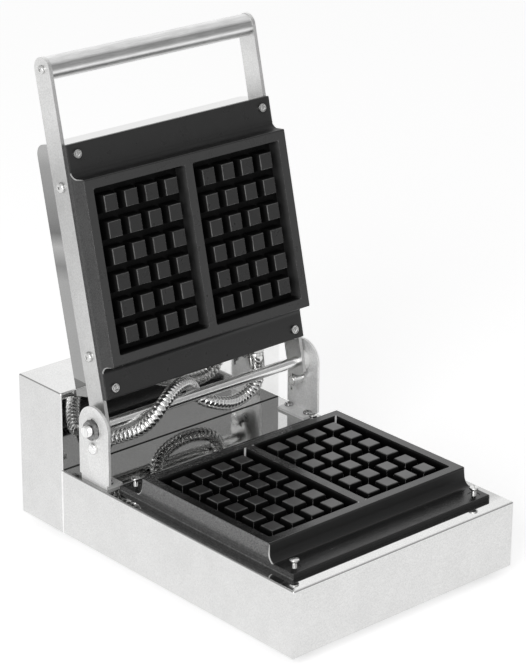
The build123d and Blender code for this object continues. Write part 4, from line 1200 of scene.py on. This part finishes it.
def knob(name, z, body, node):
    """A fluted grip with a raised pointer, and the white line let into it."""
    grip = turned([(0.5, 16.2), (0.9, 17.0), (4.3, 17.0), (5.5, 15.8), (5.5, 12.0), (6.6, 11.9), (20.4, 10.95),
                   (21.5, 10.4), (22.0, 9.4)], 64)
    flutes(grip, 6.0, 21.0, 64)
    carve(grip, bar((-2.5, 0.0, 4.6), (2.5, 13.5, 22.0), 0.5), "UNION")
    carve(grip, bar((-0.75, 2.0, 21.5), (0.75, 12.6, 23.0)))
    carve(grip, turned([(-1.0, 3.05), (14.7, 3.05)], 32))
    place(grip, at(HALF, DIAL_Y, z), RIGHT)
    finish_piece(grip, name, body, "black_plastic", 30.0, [node])
    line = bar((-0.7, 2.05, 21.4), (0.7, 12.55, 21.9), 0.1)
    place(line, at(HALF, DIAL_Y, z), RIGHT)
    finish_piece(line, name + "_line", body, "white_plastic")


def dial_marks(name, z, turns):
    """Short printed strokes round a knob, from the top clockwise."""
    marks = []
    for turn in turns:
        mark = bar((-0.4, 18.4, -0.05), (0.4, 20.8, 0.12), 0.05)
        mark.rotation_euler[2] = radians(-turn)
        settle(mark)
        marks.append(mark)
    clear_selection()
    for mark in marks:
        mark.select_set(True)
    bpy.context.view_layer.objects.active = marks[0]
    bpy.ops.object.join()
    place(marks[0], at(HALF, DIAL_Y, z), RIGHT)
    finish_piece(marks[0], name, "base", "black_plastic")


def controls():
    knob("thermostat_dial_grip", THERMOSTAT_Z, "thermostat_dial", "thermostat_knob")
    knob("timer_dial_grip", TIMER_Z, "timer_dial", "timer_knob")
    dial_marks("thermostat_marks", THERMOSTAT_Z, range(0, 271, 45))
    dial_marks("timer_marks", TIMER_Z, range(0, 301, 60))
    lamps = [(at(HALF, LAMP_Y, z), RIGHT, 0.0) for z in (THERMOSTAT_Z, TIMER_Z)]
    lens = turned([(-18.0, 3.6), (-17.6, 4.0), (0.0, 4.0), (0.4, 4.15), (1.6, 4.1), (2.3, 3.6), (2.8, 2.6),
                   (3.0, 1.2)], 40)
    set_out(lens, "pilot_lens", lamps, "base", "lamp_lens", "pilot_lamps", 50.0)
    rim = turned_ring([(0.0, 4.25), (0.0, 4.9), (0.3, 5.0), (1.1, 4.9), (1.5, 4.6), (1.4, 4.25)], 40)
    set_out(rim, "pilot_rim", lamps, "base", "nickel", "pilot_lamps", 50.0)
    stroke = bar((-0.4, -2.2, -0.05), (0.4, 2.2, 0.12), 0.05)
    place(stroke, at(HALF + 4.896, DIAL_Y, SWITCH_Z + 5.065), (cos(ROCKER_TILT), 0.0, -sin(ROCKER_TILT)))
    finish_piece(stroke, "switch_mark_on", "switch_rocker", "white_plastic")
    ring = turned_ring([(-0.05, 1.5), (-0.05, 2.3), (0.1, 2.3), (0.12, 2.2), (0.12, 1.6), (0.1, 1.5)], 40)
    place(ring, at(HALF + 2.456, DIAL_Y, SWITCH_Z - 6.4), RIGHT)
    finish_piece(ring, "switch_mark_off", "switch_rocker", "white_plastic")


controls()


# Fittings of the back and the underside

def inlet_gland():
    body = hexagon(22.0, 0.0, 6.0, 1.2)
    steps = [(-9.0, 7.4)] + ridges(-8.4, -0.4, 8.0, 7.4, 1.5)
    steps += [(0.2, 8.0), (5.0, 8.0), (5.0, 9.4), (6.4, 9.4), (6.8, 10.0), (16.6, 10.0), (18.4, 9.4), (19.5, 8.4),
              (20.0, 7.2)]
    dome = turned(steps, 48)
    flutes(dome, 6.6, 16.8, 48)
    carve(body, dome, "UNION")
    carve(body, turned([(-10.0, 4.5), (12.0, 4.5), (12.0, 6.5), (21.0, 6.5)], 32))
    place(body, at(*INLET), BACK)
    finish_piece(body, "inlet_gland", "base", "black_plastic", 30.0, ["cable_gland"])
    seal = turned_ring([(12.1, 4.5), (12.1, 6.4), (19.4, 6.4), (19.4, 5.6), (19.0, 4.8), (18.4, 4.5)], 32)
    place(seal, at(*INLET), BACK)
    finish_piece(seal, "inlet_seal", "base", "rubber", 40.0)


def earth_stud():
    thread = ridges(0.6, 15.2, 3.0, 2.6, 0.8)
    stud = turned([(-2.7, 5.7), (-2.4, 6.0), (-1.2, 6.0), (-1.2, 3.0), (0.4, 3.0)] + thread + [(15.8, 2.3)], 36)
    carve(stud, hexagon(10.0, 0.0, 5.0, 0.8), "UNION")
    place(stud, at(-45.0, BACK_Y, 40.0), BACK)
    finish_piece(stud, "earth_stud", "base", "nickel", 30.0, ["bonding_stud"])


def feet():
    foot = turned_ring([(0.0, 6.0), (0.0, 8.4), (0.6, 9.0), (3.5, 9.3), (4.0, 8.9), (4.6, 9.35), (8.2, 9.85),
                        (8.8, 9.6), (8.8, 2.8), (4.0, 2.8), (4.0, 5.6)], 48)
    spots = [(at(sx * 122.0, y, 0.0), UP, 0.0) for sx in (-1, 1) for y in (26.0, 383.0)]
    set_out(foot, "rubber_foot", spots, "base", "rubber", "rubber_feet")


inlet_gland()
earth_stud()
feet()
